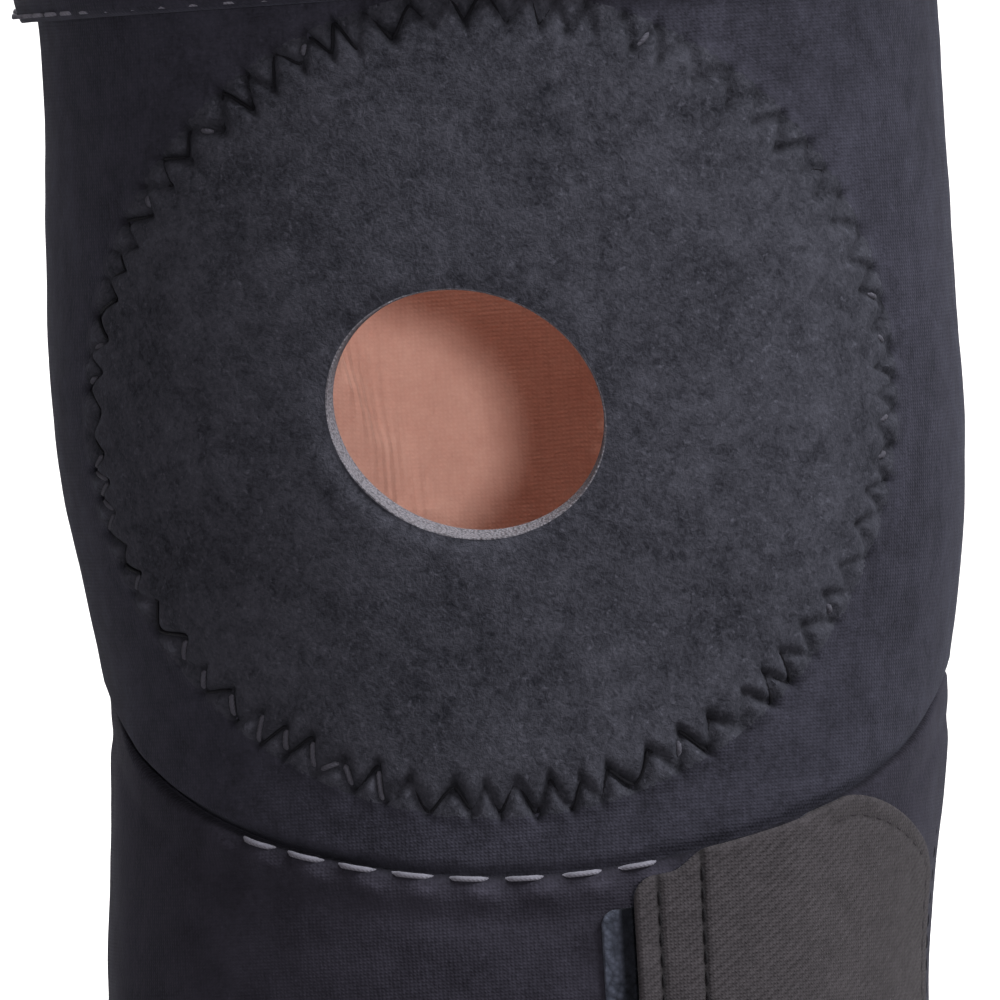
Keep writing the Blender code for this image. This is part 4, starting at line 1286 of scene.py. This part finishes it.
def patch_press(deg, z, low, high):
    """A slight hollow in the cuff under the tab and its patch."""
    d = wrapped(deg)
    across = smooth((d - 6) / 4) * smooth((60 - d) / 4)
    return 0.0002 * across * smooth((z - low + 0.003) / 0.005) * smooth((high + 0.003 - z) / 0.005)


def cuff_columns(n):
    return np.linspace(SPLIT_DEG, SPLIT_DEG + 360.0, n + 1)


def cuff_grid(cols, edge_z, roll, far_z, n, power):
    """deg, z, share of thickness and lining materials from the rolled edge to the hem."""
    arc = np.linspace(0, math.pi / 2, 8)[:-1]
    edge = edge_z[:, None]
    z_roll = edge + roll * (1 - np.cos(arc))[None]
    z_rest = edge + roll + (far_z - edge - roll) * np.linspace(0, 1, n)[None] ** power
    z = np.concatenate([z_roll, z_rest], 1)
    share = np.concatenate([np.maximum(np.sin(arc), 0.05), np.ones(n)])[None]
    deg = np.repeat(cols[:, None], z.shape[1], 1)
    # the outer cloth turns in over the first rows of the inner face
    inner_mats = np.where(np.arange(z.shape[1] - 1) < 12, 2, 1)
    return deg, z, share, inner_mats


def thinning(deg, start, blend):
    """Share of thinning at the sides, from the angle start over blend degrees."""
    d = np.abs(wrapped(deg))
    return smooth((d - start) / blend) * smooth((112 - d) / 12)


def cuff_skin(part, body, mat, grid, outside, lump, relief, thin, fade, press, shade=None):
    """Cuff with rolled edge; fade flattens it towards the hem."""
    deg, z, share, inner_mats = grid
    middle = outside(deg, z) - SHEET / 2
    out = middle + SHEET / 2 * share + (lump * fade + relief) * share
    out = out + side_bulge(deg, z) * fade - patch_press(deg, z, *press) - thin * share
    ob, _ = shell(
        f"{part}_skin", deg, z, out, middle - SHEET / 2 * share, [mat, LINING, mat],
        wrap=True, smooth_deg=60, inner_mats=inner_mats, shade=shade,
    )
    given(ob, body, "neoprene", part)


def thigh_cuff():
    cols = cuff_columns(340)
    edge_z = upper_seam(cols)
    grid = cuff_grid(cols, edge_z, roll=SHEET * 0.5, far_z=TOP_Z, n=110, power=1.25)
    deg, z = grid[:2]
    above = z - edge_z[:, None]
    lip = 0.00035 * bell(above - 0.0030, 0.0022)
    dip = 0.00030 * bell(above - 0.0072, 0.0016)
    cuff_skin(
        "thigh_cuff", "thigh", NEOPRENE, grid, thigh_out,
        lump=lumps(deg, z, (0.00045, 0.034, 41.0), (0.00014, 0.010, 43.0)),
        relief=lip - dip,
        thin=0.0013 * thinning(deg, start=50, blend=20) * bell(above, 0.012),
        fade=smooth((TOP_Z - z) / 0.010),
        press=(0.082, 0.150),
    )


def stitch_beat(cols):
    """1 at the middle of each light stitch of the lower seam, 0 midway between them."""
    points = face(SEAM_DEG, lower_seam(SEAM_DEG) - 0.0007, 0.0)
    steps = np.linalg.norm(np.diff(points, axis=0), axis=1)
    run = np.interp(wrapped(cols), SEAM_DEG, np.concatenate([[0], np.cumsum(steps)]))
    first_middle = SEAM_PHASE * SEAM_PITCH + SEAM_LENGTH / 2
    return 0.5 + 0.5 * np.cos(2 * math.pi * (run - first_middle) / SEAM_PITCH)


def calf_cuff():
    cols = cuff_columns(440)
    edge_z = lower_seam(cols) - 0.0001
    grid = cuff_grid(cols, edge_z, roll=-SHEET * 0.4, far_z=BOTTOM_Z, n=98, power=1.3)
    deg, z, share, inner_mats = grid
    deg, z, share, inner_mats = deg[:, ::-1], z[:, ::-1], share[:, ::-1], inner_mats[::-1]
    below = edge_z[:, None] - z
    beat = stitch_beat(cols)[:, None]
    flank = smooth((np.abs(wrapped(cols)) - 38) / 22)[:, None]
    front_beat = beat * (1 - flank)
    lip = (0.00028 + 0.00062 * front_beat - 0.00022 * flank) * bell(below - 0.0026, 0.0019)
    dip = 0.00030 * bell(below - 0.0066, 0.0018)
    # painted shade along the edge and between the stitches, painted highlight on the lip under them
    gaps = (1 - beat) ** 3 * (1 - flank) * bell(below - 0.0007, 0.0009)
    shade = 0.8 * bell(below, 0.0005) + 0.55 * gaps
    shade = shade * (1 - 0.8 * smooth((np.abs(wrapped(cols)) - 66) / 14))[:, None]
    shade = np.clip(shade - 0.30 * front_beat * bell(below - 0.0022, 0.0009), -1, 1)
    cuff_skin(
        "calf_cuff", "shank", NEOPRENE_CALF, (deg, z, share, inner_mats), calf_out,
        lump=lumps(deg, z, (0.00045, 0.032, 51.0), (0.00012, 0.010, 53.0)),
        relief=lip - dip,
        thin=0.0010 * thinning(deg, start=62, blend=18) * bell(below, 0.006),
        fade=smooth((z - BOTTOM_Z) / 0.010),
        press=(-0.137, -0.066),
        shade=shade,
    )


thigh_cuff()
calf_cuff()


# ------------------------------------------------------------------ stitches on the two cuff seams
def seam_row(name, body, z, off, **stitch):
    offsets = np.full_like(SEAM_DEG, off)
    given(dashes(name, SEAM_DEG, z, offsets, **stitch), body, "edge_binding")


# light stitches show in the middle of the front, dark ones behind
seam_row(
    "lower_seam_stitches", "shank", lower_seam(SEAM_DEG) - 0.0005, 0.00070,
    pitch=SEAM_PITCH, length=SEAM_LENGTH, radius=0.00042, mat=LIGHT_THREAD,
    lift=0.5, dip=1.9, phase=SEAM_PHASE, jitter=0.03, seed=4,
    skip=lambda deg: not (-43.5 < deg < 17.0),
)
seam_row(
    "lower_seam_stitches_dark", "shank", lower_seam(SEAM_DEG) - 0.0003, 0.00045,
    pitch=SEAM_PITCH, length=SEAM_LENGTH, radius=0.00034, mat=DARK_THREAD,
    lift=0.3, dip=2.0, phase=SEAM_PHASE, seed=4,
    skip=lambda deg: -112 < deg < 112,
)
seam_row(
    "upper_seam_stitches", "thigh", upper_seam(SEAM_DEG) + 0.0009, LAP - 0.00045,
    pitch=0.0056, length=0.0038, radius=0.00034, mat=LIGHT_THREAD,
    lift=0.5, dip=1.6, phase=0.4, jitter=0.08, seed=8,
)

# ------------------------------------------------------------------ hem bindings
BINDING_LEG, BINDING_T = 0.0090, 0.0008
BINDING_OUT = 0.0004 + BINDING_T
BINDING_ROW = 0.0068  # the stitches' distance from the hem


def binding_profile():
    """Offset and height past the hem, round the folded tape."""
    inside = -SHEET - 0.0004 - BINDING_T
    middle, radius = (BINDING_OUT + inside) / 2, (BINDING_OUT - inside) / 2
    profile = [
        (BINDING_OUT + 0.00010 * math.sin(k * 1.1), -BINDING_LEG * (1 - k / 9))
        for k in range(10)
    ]
    for k in range(1, 14):
        a = math.pi * k / 14
        profile.append((middle + radius * math.cos(a), 0.0002 + 0.0013 * math.sin(a)))
    profile += [(inside, -BINDING_LEG * k / 9) for k in range(10)]
    slot_in, slot_out = inside + BINDING_T, BINDING_OUT - BINDING_T
    return profile + [
        (slot_in, -BINDING_LEG), (slot_in, -0.0006), (slot_out, -0.0006), (slot_out, -BINDING_LEG)
    ]


def binding(part, edge_z, up, outside, body):
    """Tape folded over a hem, with its stitches; up is 1 at the top and -1 at the bottom."""
    cols = cuff_columns(360)
    wobble = ripple(np.radians(cols), 0.0, (0.00012, 37, 0), (0.00006, 91, 0))
    points, uv = [], []
    run = 0.0
    last = None
    for off, height in binding_profile():
        z = np.full_like(cols, edge_z + up * height)
        relief = 0.0
        if off > 0:
            relief = wobble - 0.00028 * bell(height + BINDING_ROW, 0.0006)
        points.append(face(cols, z, outside(cols, z) + off + relief))
        if last is not None:
            run += math.hypot(off - last[0], height - last[1])
        last = (off, height)
        uv.append(np.stack([np.radians(cols) * 0.066, np.full_like(cols, run)], -1))
    corners = FORWARD if up > 0 else BACKWARD
    ob = band(f"{part}_binding", np.stack(points, 1), np.stack(uv, 1), corners, [TAPE])
    given(ob, body, "edge_binding", f"{part}_hem_binding")
    deg = np.linspace(SPLIT_DEG, SPLIT_DEG + 360, 2400)
    z = np.full_like(deg, edge_z - up * BINDING_ROW)
    stitches = dashes(
        f"{part}_binding_stitches", deg, z, outside(deg, z) + BINDING_OUT - 0.0001,
        pitch=0.0030, length=0.0021, radius=0.00024, mat=DARK_THREAD, lift=0.7, dip=1.5, seed=12,
    )
    given(stitches, body, "edge_binding")


binding("thigh", TOP_Z, 1, thigh_out, "thigh")
binding("calf", BOTTOM_Z, -1, calf_out, "shank")

# ------------------------------------------------------------------ closure tabs
TAB_FREE = 12.2  # angle of the free end
TAB_T, HOOK_T, LOOP_T = 0.0016, 0.0007, 0.0007
TAB_GAP = 0.0003
LIFT = LOOP_T + HOOK_T + 0.0003  # rise of the free part over hooks and loops
ARC_PER_DEG = 0.00104  # length of a degree round the leg
STRIP_ROWS = (TAB_FREE + 3.4, TAB_FREE + 9.3)  # stitch rows either side of a twill strip
SEWN_INSET = 0.0028  # sewn row's distance from the tab's edges
HOOK_START, HOOK_END = TAB_FREE + 2.0, SPLIT_DEG - 6.5
HOOK_PITCH = 0.0013
# one hook: distances from its carrier and how far it leans up
HOOK_STANDOFF = np.array([0.0, 0.00026, 0.00042, 0.00044])
HOOK_LEAN = np.array([0.0, 0.00002, 0.00018, 0.00034])


def gentle_rise(deg):
    return LIFT * smooth((SPLIT_DEG + 8.0 - deg) / 16.0)


def steep_rise(deg):
    return LIFT * smooth((SPLIT_DEG - 1.2 - deg) / 4.0)


def curl(deg):
    """The free end stands off a little."""
    return 0.00075 * smooth((TAB_FREE + 5 - deg) / 5) ** 2


class Tab:
    """Closure tab with its stitches, the loop patch on the cuff and the hooks under the tab."""

    def __init__(self, part, root, low, high, outside, end, corners, seed):
        self.part, self.root, self.flap = part, root, f"{part}_flap"
        self.low, self.high, self.outside = low, high, outside
        self.end, self.corners, self.seed = end, corners, seed

    def underside(self, deg, z, rise):
        wave = lumps(deg, z, (0.00030, 0.026, self.seed))
        slack = wave * smooth((SPLIT_DEG + 4 - deg) / 6)
        return self.outside(deg, z) + TAB_GAP + rise + slack + curl(deg)

    def top(self, deg, z):
        return self.underside(deg, z, gentle_rise(deg)) + TAB_T

    def grid(self, start, end, n, tall, rows, thick, margins, corners):
        """deg, z and share of thickness of a patch with rounded corners and edges."""
        span = (end - start) * ARC_PER_DEG
        across, share_across = rounded(span, n, thick)
        rise, share_rise = rounded(tall, rows, thick)
        cols = start + across / ARC_PER_DEG
        inset = corner_inset(across, corners[0]) + corner_inset(span - across, corners[1])
        bottom = self.low(cols) + margins[0] + inset
        top = self.high(cols) - margins[1] - inset
        z = bottom[:, None] + (top - bottom)[:, None] * (rise / tall)[None]
        deg = np.repeat(cols[:, None], z.shape[1], 1)
        return deg, z, np.minimum(share_across[:, None], share_rise[None])

    def cloth(self):
        deg, z, share = self.grid(
            TAB_FREE, self.end, n=150, tall=0.070, rows=120, thick=TAB_T,
            margins=(0.0, 0.0), corners=self.corners,
        )
        steep = steep_rise(deg)
        under = self.underside(deg, z, steep)
        strip = (deg > STRIP_ROWS[0]) & (deg < STRIP_ROWS[1])
        groove = sum(0.00040 * bell(deg - row, 0.42) for row in STRIP_ROWS)
        # the row that sews the base down follows its three sewn edges
        to_end = (self.end - deg) * ARC_PER_DEG
        to_edge = np.minimum(np.minimum(z[:, -1:] - z, z - z[:, :1]), to_end)
        sewn = smooth((deg - SPLIT_DEG - 0.5) / 1.0)
        groove = groove + 0.00014 * bell(to_edge - SEWN_INSET, 0.00045) * sewn
        middle, half = under + TAB_T / 2, TAB_T / 2 * share
        out = middle + half - groove * share - 0.00006 * strip + gentle_rise(deg) - steep
        # the shade attribute here is painted shade in the stitch grooves
        ob, places = shell(
            f"{self.part}_tab", deg, z, out, middle - half, [TWILL, LOOPS, TWILL, TWILL_STRIP],
            outer_mats=np.where(strip, 3, 0)[:-1, :-1], smooth_deg=70,
            shade=np.clip(groove / 0.0004, 0, 1),
        )
        follow(ob)
        given(ob, None, "closure_twill", f"{self.part}_tab_base", f"{self.part}_tab_flap")

    def strip_rows(self):
        for n, row in enumerate(STRIP_ROWS):
            z = np.linspace(float(self.low(row)) + 0.0016, float(self.high(row)) - 0.0016, 400)
            deg = np.full_like(z, row)
            ob = dashes(
                f"{self.part}_tab_row_{n + 1}", deg, z, self.top(deg, z) - 0.00030,
                pitch=0.0029, length=0.0021, radius=0.00024, mat=TAB_THREAD,
                lift=0.7, dip=1.2, seed=20 + n,
            )
            given(ob, self.flap, "closure_twill")

    def sewn_row(self):
        end_deg = self.end - SEWN_INSET / ARC_PER_DEG
        along = np.linspace(SPLIT_DEG + 1.2, end_deg - 1.0, 60)
        turn = SEWN_INSET + 0.003
        z_end = np.linspace(
            float(self.high(end_deg)) - turn, float(self.low(end_deg)) + turn, 60
        )
        z_top, z_bottom = self.high(along) - SEWN_INSET, self.low(along) + SEWN_INSET
        deg = np.concatenate([along, np.full(60, end_deg), along[::-1]])
        z = np.concatenate([z_top, z_end, z_bottom[::-1]])
        ob = dashes(
            f"{self.part}_tab_sewn_row", deg, z, self.top(deg, z) - 0.00026,
            pitch=0.0029, length=0.0021, radius=0.00020, mat=TAB_SEWN_THREAD,
            lift=0.5, dip=1.2, seed=33,
        )
        given(ob, self.root, "closure_twill")

    def loop_field(self):
        deg, z, share = self.grid(
            TAB_FREE - 4.0, SPLIT_DEG - 6.0, n=80, tall=0.066, rows=170, thick=LOOP_T,
            margins=(0.002, 0.004), corners=(0.002, 0.002),
        )
        fuzz = lumps(deg, z, (0.00010, 0.0012, 71.0))
        base = self.outside(deg, z) + 0.0002
        out = base + LOOP_T * (0.35 + 0.65 * share) + fuzz * share
        # painted shadow of the tab's lifted free edge on the loop patch
        shade = smooth((deg - TAB_FREE + 1.9) / 0.8) * smooth((TAB_FREE + 3 - deg) / 2)
        name, mats = f"{self.part}_loop_field", [LOOPS, LOOPS, LOOPS]
        ob, _ = shell(name, deg, z, out, base, mats, smooth_deg=70, shade=shade)
        given(ob, self.root, "loop_pile", f"{self.part}_loop_patch")

    def hook_carrier(self):
        deg, z, _ = self.grid(
            HOOK_START, HOOK_END, n=30, tall=0.060, rows=50, thick=0.0004,
            margins=(0.006, 0.006), corners=(0.002, 0.002),
        )
        out = self.outside(deg, z) + TAB_GAP + LIFT + curl(deg) - 0.00005
        name, mats = f"{self.part}_hook_carrier", [HOOKS, HOOKS, HOOKS]
        ob, _ = shell(name, deg, z, out, out - 0.00045, mats, smooth_deg=70)
        given(ob, self.flap, "hook_tape", f"{self.part}_hook_pad")

    def hooks(self):
        """Staggered rows of small hooks facing the leg."""
        paths = []
        normals = np.tile(np.array([1.0, 0.2, 0.1]), (4, 1))
        columns = np.arange(HOOK_START + 1.6, HOOK_END - 1.2, HOOK_PITCH / ARC_PER_DEG)
        for k, deg in enumerate(columns):
            low, high = float(self.low(deg)) + 0.0078, float(self.high(deg)) - 0.0078
            for z in np.arange(low + (k % 2) * HOOK_PITCH / 2, high, HOOK_PITCH):
                outside = float(self.outside(np.array(deg), np.array(z)))
                off = outside + TAB_GAP + LIFT - 0.00048 - HOOK_STANDOFF
                paths.append((face(deg, z + HOOK_LEAN, off), normals))
        ob = tubes(f"{self.part}_hooks", paths, 0.00013, HOOKS, sides=4, taper=1.0)
        given(ob, self.flap, "hook_tape")

    def build(self):
        self.cloth()
        self.strip_rows()
        self.sewn_row()
        self.loop_field()
        self.hook_carrier()
        self.hooks()


def level_edge(z):
    return lambda deg: np.full_like(np.asarray(deg, float), z)


def calf_tab_top(deg):
    """Under the seam's stitches at the free end, over the lip beyond them, then turning down."""
    deg = np.asarray(deg, float)
    over = 0.0023 * smooth((deg - 17.4) / 5.0)
    down = 0.0190 * np.clip((deg - 44.3) / 24.7, 0, None) ** 1.45
    return lower_seam(deg) - 0.0021 + over - down


Tab(
    "calf", "shank", low=level_edge(-0.1370), high=calf_tab_top, outside=calf_out,
    end=69.0, corners=(0.0030, 0.0045), seed=61.0,
).build()
Tab(
    "thigh", "thigh", low=level_edge(0.0820), high=level_edge(0.1500), outside=thigh_out,
    end=59.5, corners=(0.005, 0.007), seed=67.0,
).build()

# ------------------------------------------------------------------ arm pockets and pads inside
PLATE_OUT, PLATE_T = 0.0556, 0.0012
HINGE_GAP = 0.0003
ARM_OUT, ARM_T = PLATE_OUT - PLATE_T - HINGE_GAP, 0.0023
FLAT_Z = 0.0270  # the arms are flat this far from the knee's middle
FACING_HALF, FACING_ROW = 0.0125, 0.0104  # half-width, and the stitch rows' place across it
FACING_HUG = 0.00072  # the facing's edges lie this much further out than its middle
CUSHION_RADIUS, CUSHION_ROLL = 0.0150, 0.0022
CUSHION_BACK = ARM_OUT - ARM_T - 2 * HINGE_GAP - PLATE_T - FACING_HUG - 0.0004


def facing_back(side, y, z):
    """Distance from the middle plane to the back of the pocket facing, against the arm."""
    minus_x, plus_x, _, _ = half_sizes(z)
    in_sleeve = (plus_x if side > 0 else minus_x) * 0.985 - SHEET - 0.0009
    t = smooth((np.abs(z) - FLAT_Z) / 0.030)
    arm = ARM_OUT * (1 - t) + in_sleeve * t
    hug = FACING_HUG * (1 - bell(np.abs(y - PIVOT_Y), 0.0088, 6))
    return arm - ARM_T - HINGE_GAP + hug


def facing(part, word, side, up, end, body):
    """Lining strip over a hinge arm with a stitch row along each edge."""
    name = f"{part}_facing_{word}"
    start = 0.0285
    along, share_along = rounded(end - start, 130, 0.0014)
    across, share_across = rounded(2 * FACING_HALF, 34, 0.0014)
    z, y = np.meshgrid(up * (start + along), PIVOT_Y - FACING_HALF + across, indexing="ij")
    inset = corner_inset(np.minimum(along, along[-1] - along), 0.006)
    y = PIVOT_Y + (y - PIVOT_Y) * ((FACING_HALF - inset) / FACING_HALF)[:, None]
    back = facing_back(side, y, z)
    share = np.minimum(share_along[:, None], share_across[None])
    lump = 0.00012 * np.array(
        [[noise.noise(Vector((a * 90, b * 90, side * 3))) for b in y[0]] for a in z[:, 0]]
    )
    row = bell(np.abs(y - PIVOT_Y) - FACING_ROW, 0.0005)
    front = back - 0.0003 - 0.0012 * share + 0.0003 * row + lump
    outer, inner = np.stack([side * back, y, z], -1), np.stack([side * front, y, z], -1)
    mats = [LINING, LINING, LINING]
    ob, _ = grid_solid(name, outer, inner, np.stack([y, z], -1), mats, smooth_deg=70)
    given(ob, body, "lining_tricot", f"{part}_pocket_facing_{word}")

    paths = []
    arc = np.sin(np.linspace(0, math.pi, 6)) ** 0.6
    for y in (PIVOT_Y - FACING_ROW, PIVOT_Y + FACING_ROW):
        for height in np.arange(start + 0.006, end - 0.006, 0.0030):
            z = up * np.linspace(height, height + 0.0021, 6)
            x = side * (facing_back(side, y, z) - 0.00118 - 0.00022 * arc)
            line = np.stack([x, np.full(6, y), z], -1)
            paths.append((line, np.tile([-side, 0.0, 0.0], (6, 1))))
    stitches = tubes(f"{name}_stitches", paths, 0.00022, TAN_THREAD)
    given(stitches, body, "lining_tricot")


def stadium():
    """Evenly spaced (y, z) outline of the cushion, round both pivots."""
    a = np.linspace(0, math.pi, 60)
    y, z = CUSHION_RADIUS * np.cos(a), PIVOT_Z + CUSHION_RADIUS * np.sin(a)
    points = np.concatenate([np.stack([PIVOT_Y + y, z], 1), np.stack([PIVOT_Y - y, -z], 1)])
    points = np.concatenate([points, points[:1]])
    steps = np.linalg.norm(np.diff(points, axis=0), axis=1)
    run = np.concatenate([[0], np.cumsum(steps)])
    q = np.linspace(0, run[-1], 161)
    return np.interp(q, run, points[:, 0]), np.interp(q, run, points[:, 1])


def cushion_profile():
    """Share of the outline and x, from the back over the rolled edge to the domed middle."""
    profile = [(1.0, CUSHION_BACK - 0.0006 * k / 5) for k in range(6)]
    roll = CUSHION_ROLL / CUSHION_RADIUS
    for k in range(1, 10):
        a = math.pi / 2 * k / 9
        x = CUSHION_BACK - 0.0006 - CUSHION_ROLL * math.sin(a)
        profile.append((1 - roll * (1 - math.cos(a)), x))
    for k in range(1, 22):
        q = k / 21
        groove = 0.0006 * bell(q - 0.16, 0.045)
        dome = 0.0017 * math.sin(q * math.pi / 2) ** 0.8
        x = CUSHION_BACK - 0.0006 - CUSHION_ROLL - dome + groove
        profile.append((max((1 - roll) * (1 - q), 0.02), x))
    return profile


def condyle_cushion(word, side):
    """Padded disc over the hinge's inner plate, softly domed."""
    y_edge, z_edge = stadium()
    z_middle = np.clip(z_edge, -PIVOT_Z, PIVOT_Z)
    points, uv = [], []
    for share, x in cushion_profile():
        y = PIVOT_Y + (y_edge - PIVOT_Y) * share
        z = z_middle + (z_edge - z_middle) * share
        lump = [noise.noise(Vector((a * 160, b * 160, side * 2))) for a, b in zip(y, z)]
        points.append(np.stack([side * (x + 0.00012 * np.array(lump)), y, z], -1))
        uv.append(np.stack([y, z], -1))
    ob = band(
        f"condyle_cushion_{word}", np.stack(points, 1), np.stack(uv, 1),
        BACKWARD if side > 0 else FORWARD, [LINING], closed=False, smooth_deg=70,
    )
    given(ob, "knee", "lining_tricot", f"condyle_pad_{word}")


def side_angle(side, y, z, outside):
    """Angle, found by halving, where the cuff's side has the given y."""
    low, high = np.full_like(z, 60.0), np.full_like(z, 130.0)
    for _ in range(26):
        middle = (low + high) / 2
        short = face(middle * side, z, outside(middle * side, z))[:, 1] < y
        low, high = np.where(short, middle, low), np.where(short, high, middle)
    # the last middle, before the final halving
    return middle * side


def pocket_row(part, word, side, tag, y, up, ends, outside, body):
    """Stitch row beside an arm pocket, on the outside of the cuff."""
    z = np.linspace(*ends, 500) * up
    deg = side_angle(side, y, z, outside)
    clear = (z > upper_seam(deg) + 0.008) if up > 0 else (z < lower_seam(deg) - 0.008)
    deg, z = deg[clear], z[clear]
    off = outside(deg, z) + side_bulge(deg, z) - 0.00020
    ob = dashes(
        f"{part}_pocket_row_{tag}_{word}", deg, z, off,
        pitch=0.0032, length=0.0023, radius=0.00016, mat=DARK_THREAD, lift=0.1, dip=1.2, seed=40,
    )
    given(ob, body, "edge_binding")


# part, direction from the knee, facing's end, ends of the pocket rows, offset, body
POCKETS = (
    ("thigh", 1, 0.154, (0.070, 0.160), thigh_out, "thigh"),
    ("calf", -1, 0.136, (0.062, 0.138), calf_out, "shank"),
)
ROW_SIDES = (("front", PIVOT_Y - 0.0115), ("rear", PIVOT_Y + 0.0115))
for side, word in SIDES:
    for part, up, end, _, _, body in POCKETS:
        facing(part, word, side, up, end, body)
    condyle_cushion(word, side)
    for part, up, _, ends, outside, body in POCKETS:
        for tag, y in ROW_SIDES:
            pocket_row(part, word, side, tag, y, up, ends, outside, body)

# ------------------------------------------------------------------ metal parts keep their CAD shapes
# part of the CAD name, material, slot
METALS = (
    ("hinge_arm", ALUMINIUM, "aluminium_arm"),
    ("_plate_", STEEL, "steel_plate"),
    ("rivet", RIVET, "steel_rivet"),
)
for name, ob in frame["nodes"].items():
    for key, mat, slot in METALS:
        if key in name:
            ob.data.materials.clear()
            ob.data.materials.append(mat)
            bevel = ob.modifiers.new("edge", "BEVEL")
            bevel.width = 0.00018
            bevel.segments = 2
            bevel.limit_method = "ANGLE"
            bevel.angle_limit = math.radians(40)
            break

# ------------------------------------------------------------------ floor and world
scene = bpy.context.scene
scene.view_settings.view_transform = "Standard"
scene.view_settings.look = "None"


def add_floor():
    bpy.ops.mesh.primitive_circle_add(
        vertices=96, radius=90.0, fill_type="NGON", location=(0, 0, -0.0006)
    )
    floor = bpy.context.object
    floor.name = "floor"
    g = Graph("pale_floor")
    grain = g.noise(size=0.35, detail=3.0)
    colour = g.mix(grain, (0.86, 0.86, 0.87), (0.90, 0.90, 0.90))
    floor.data.materials.append(g.finish(colour, 0.7, spec=0.2))
    floor.visible_diffuse = False  # its bounce would flatten the light on the dark cloth


def add_world():
    """A dim fill lights the brace, while the camera sees a plain white backdrop."""
    world = bpy.data.worlds.new("studio")
    scene.world = world
    world.use_nodes = True
    nodes, links = world.node_tree.nodes, world.node_tree.links
    fill = nodes["Background"]
    fill.inputs["Color"].default_value = (1.0, 0.90, 0.92, 1.0)
    fill.inputs["Strength"].default_value = 0.20
    backdrop = nodes.new("ShaderNodeBackground")
    backdrop.inputs["Color"].default_value = (1.0, 1.0, 1.0, 1.0)
    either = nodes.new("ShaderNodeMixShader")
    ray = nodes.new("ShaderNodeLightPath")
    links.new(ray.outputs["Is Camera Ray"], either.inputs[0])
    links.new(fill.outputs[0], either.inputs[1])
    links.new(backdrop.outputs[0], either.inputs[2])
    links.new(either.outputs[0], nodes["World Output"].inputs["Surface"])


add_floor()
add_world()


# ------------------------------------------------------------------ lights
def place_light(light, direction, at=(0, 0, 0)):
    ob = bpy.data.objects.new(light.name, light)
    ob.location = Vector(at)
    ob.rotation_euler = direction.to_track_quat("-Z", "Y").to_euler()
    ob.visible_camera = False
    scene.collection.objects.link(ob)


def sun(name, azimuth, elevation, strength, angle, colour):
    """Far soft light; azimuth 0 is in front of the brace and 90 is on its +X side."""
    light = bpy.data.lights.new(name, "SUN")
    light.energy = strength
    light.angle = math.radians(angle)
    light.color = colour
    a, e = math.radians(azimuth), math.radians(elevation)
    to = Vector((math.sin(a) * math.cos(e), -math.cos(a) * math.cos(e), math.sin(e)))
    place_light(light, -to)


def disk_light(name, at, size, power):
    """Round area light aimed at the knee."""
    light = bpy.data.lights.new(name, "AREA")
    light.shape = "DISK"
    light.size = size
    light.energy = power
    place_light(light, Vector(KNEE) - Vector(at), at)


sun("key", azimuth=58, elevation=42, strength=4.75, angle=26, colour=(0.99, 0.99, 1.0))
sun("front_fill", azimuth=6.5, elevation=1.5, strength=1.55, angle=4, colour=(1.0, 0.96, 0.97))
sun("rim", azimuth=180, elevation=34, strength=2.8, angle=24, colour=(0.98, 0.99, 1.0))
disk_light("top", at=(0.1, 0.3, 2.8), size=1.6, power=60.0)

# ------------------------------------------------------------------ camera
CAMERA_DISTANCE = 6.0
VIEW_WIDTH = 0.1393  # width seen at the aim point
CAMERA_ELEVATION, CAMERA_ROLL = math.radians(1.0), math.radians(3.8)
AIM = Vector(KNEE) + Vector((-0.0019, -0.0600, -0.0129))


def add_camera():
    data = bpy.data.cameras.new("camera")
    camera = bpy.data.objects.new("camera", data)
    scene.collection.objects.link(camera)
    scene.camera = camera
    data.sensor_width = 36.0
    data.clip_end = 200.0
    data.lens = 36.0 * CAMERA_DISTANCE / VIEW_WIDTH
    back = Vector((0.0, -math.cos(CAMERA_ELEVATION), math.sin(CAMERA_ELEVATION)))
    camera.location = AIM + back * CAMERA_DISTANCE
    up = Vector((math.sin(CAMERA_ROLL), 0.0, math.cos(CAMERA_ROLL)))
    z_axis = back.normalized()
    x_axis = up.cross(z_axis).normalized()
    y_axis = z_axis.cross(x_axis).normalized()
    camera.rotation_euler = Matrix((x_axis, y_axis, z_axis)).transposed().to_euler()


add_camera()

bpy.context.view_layer.update()
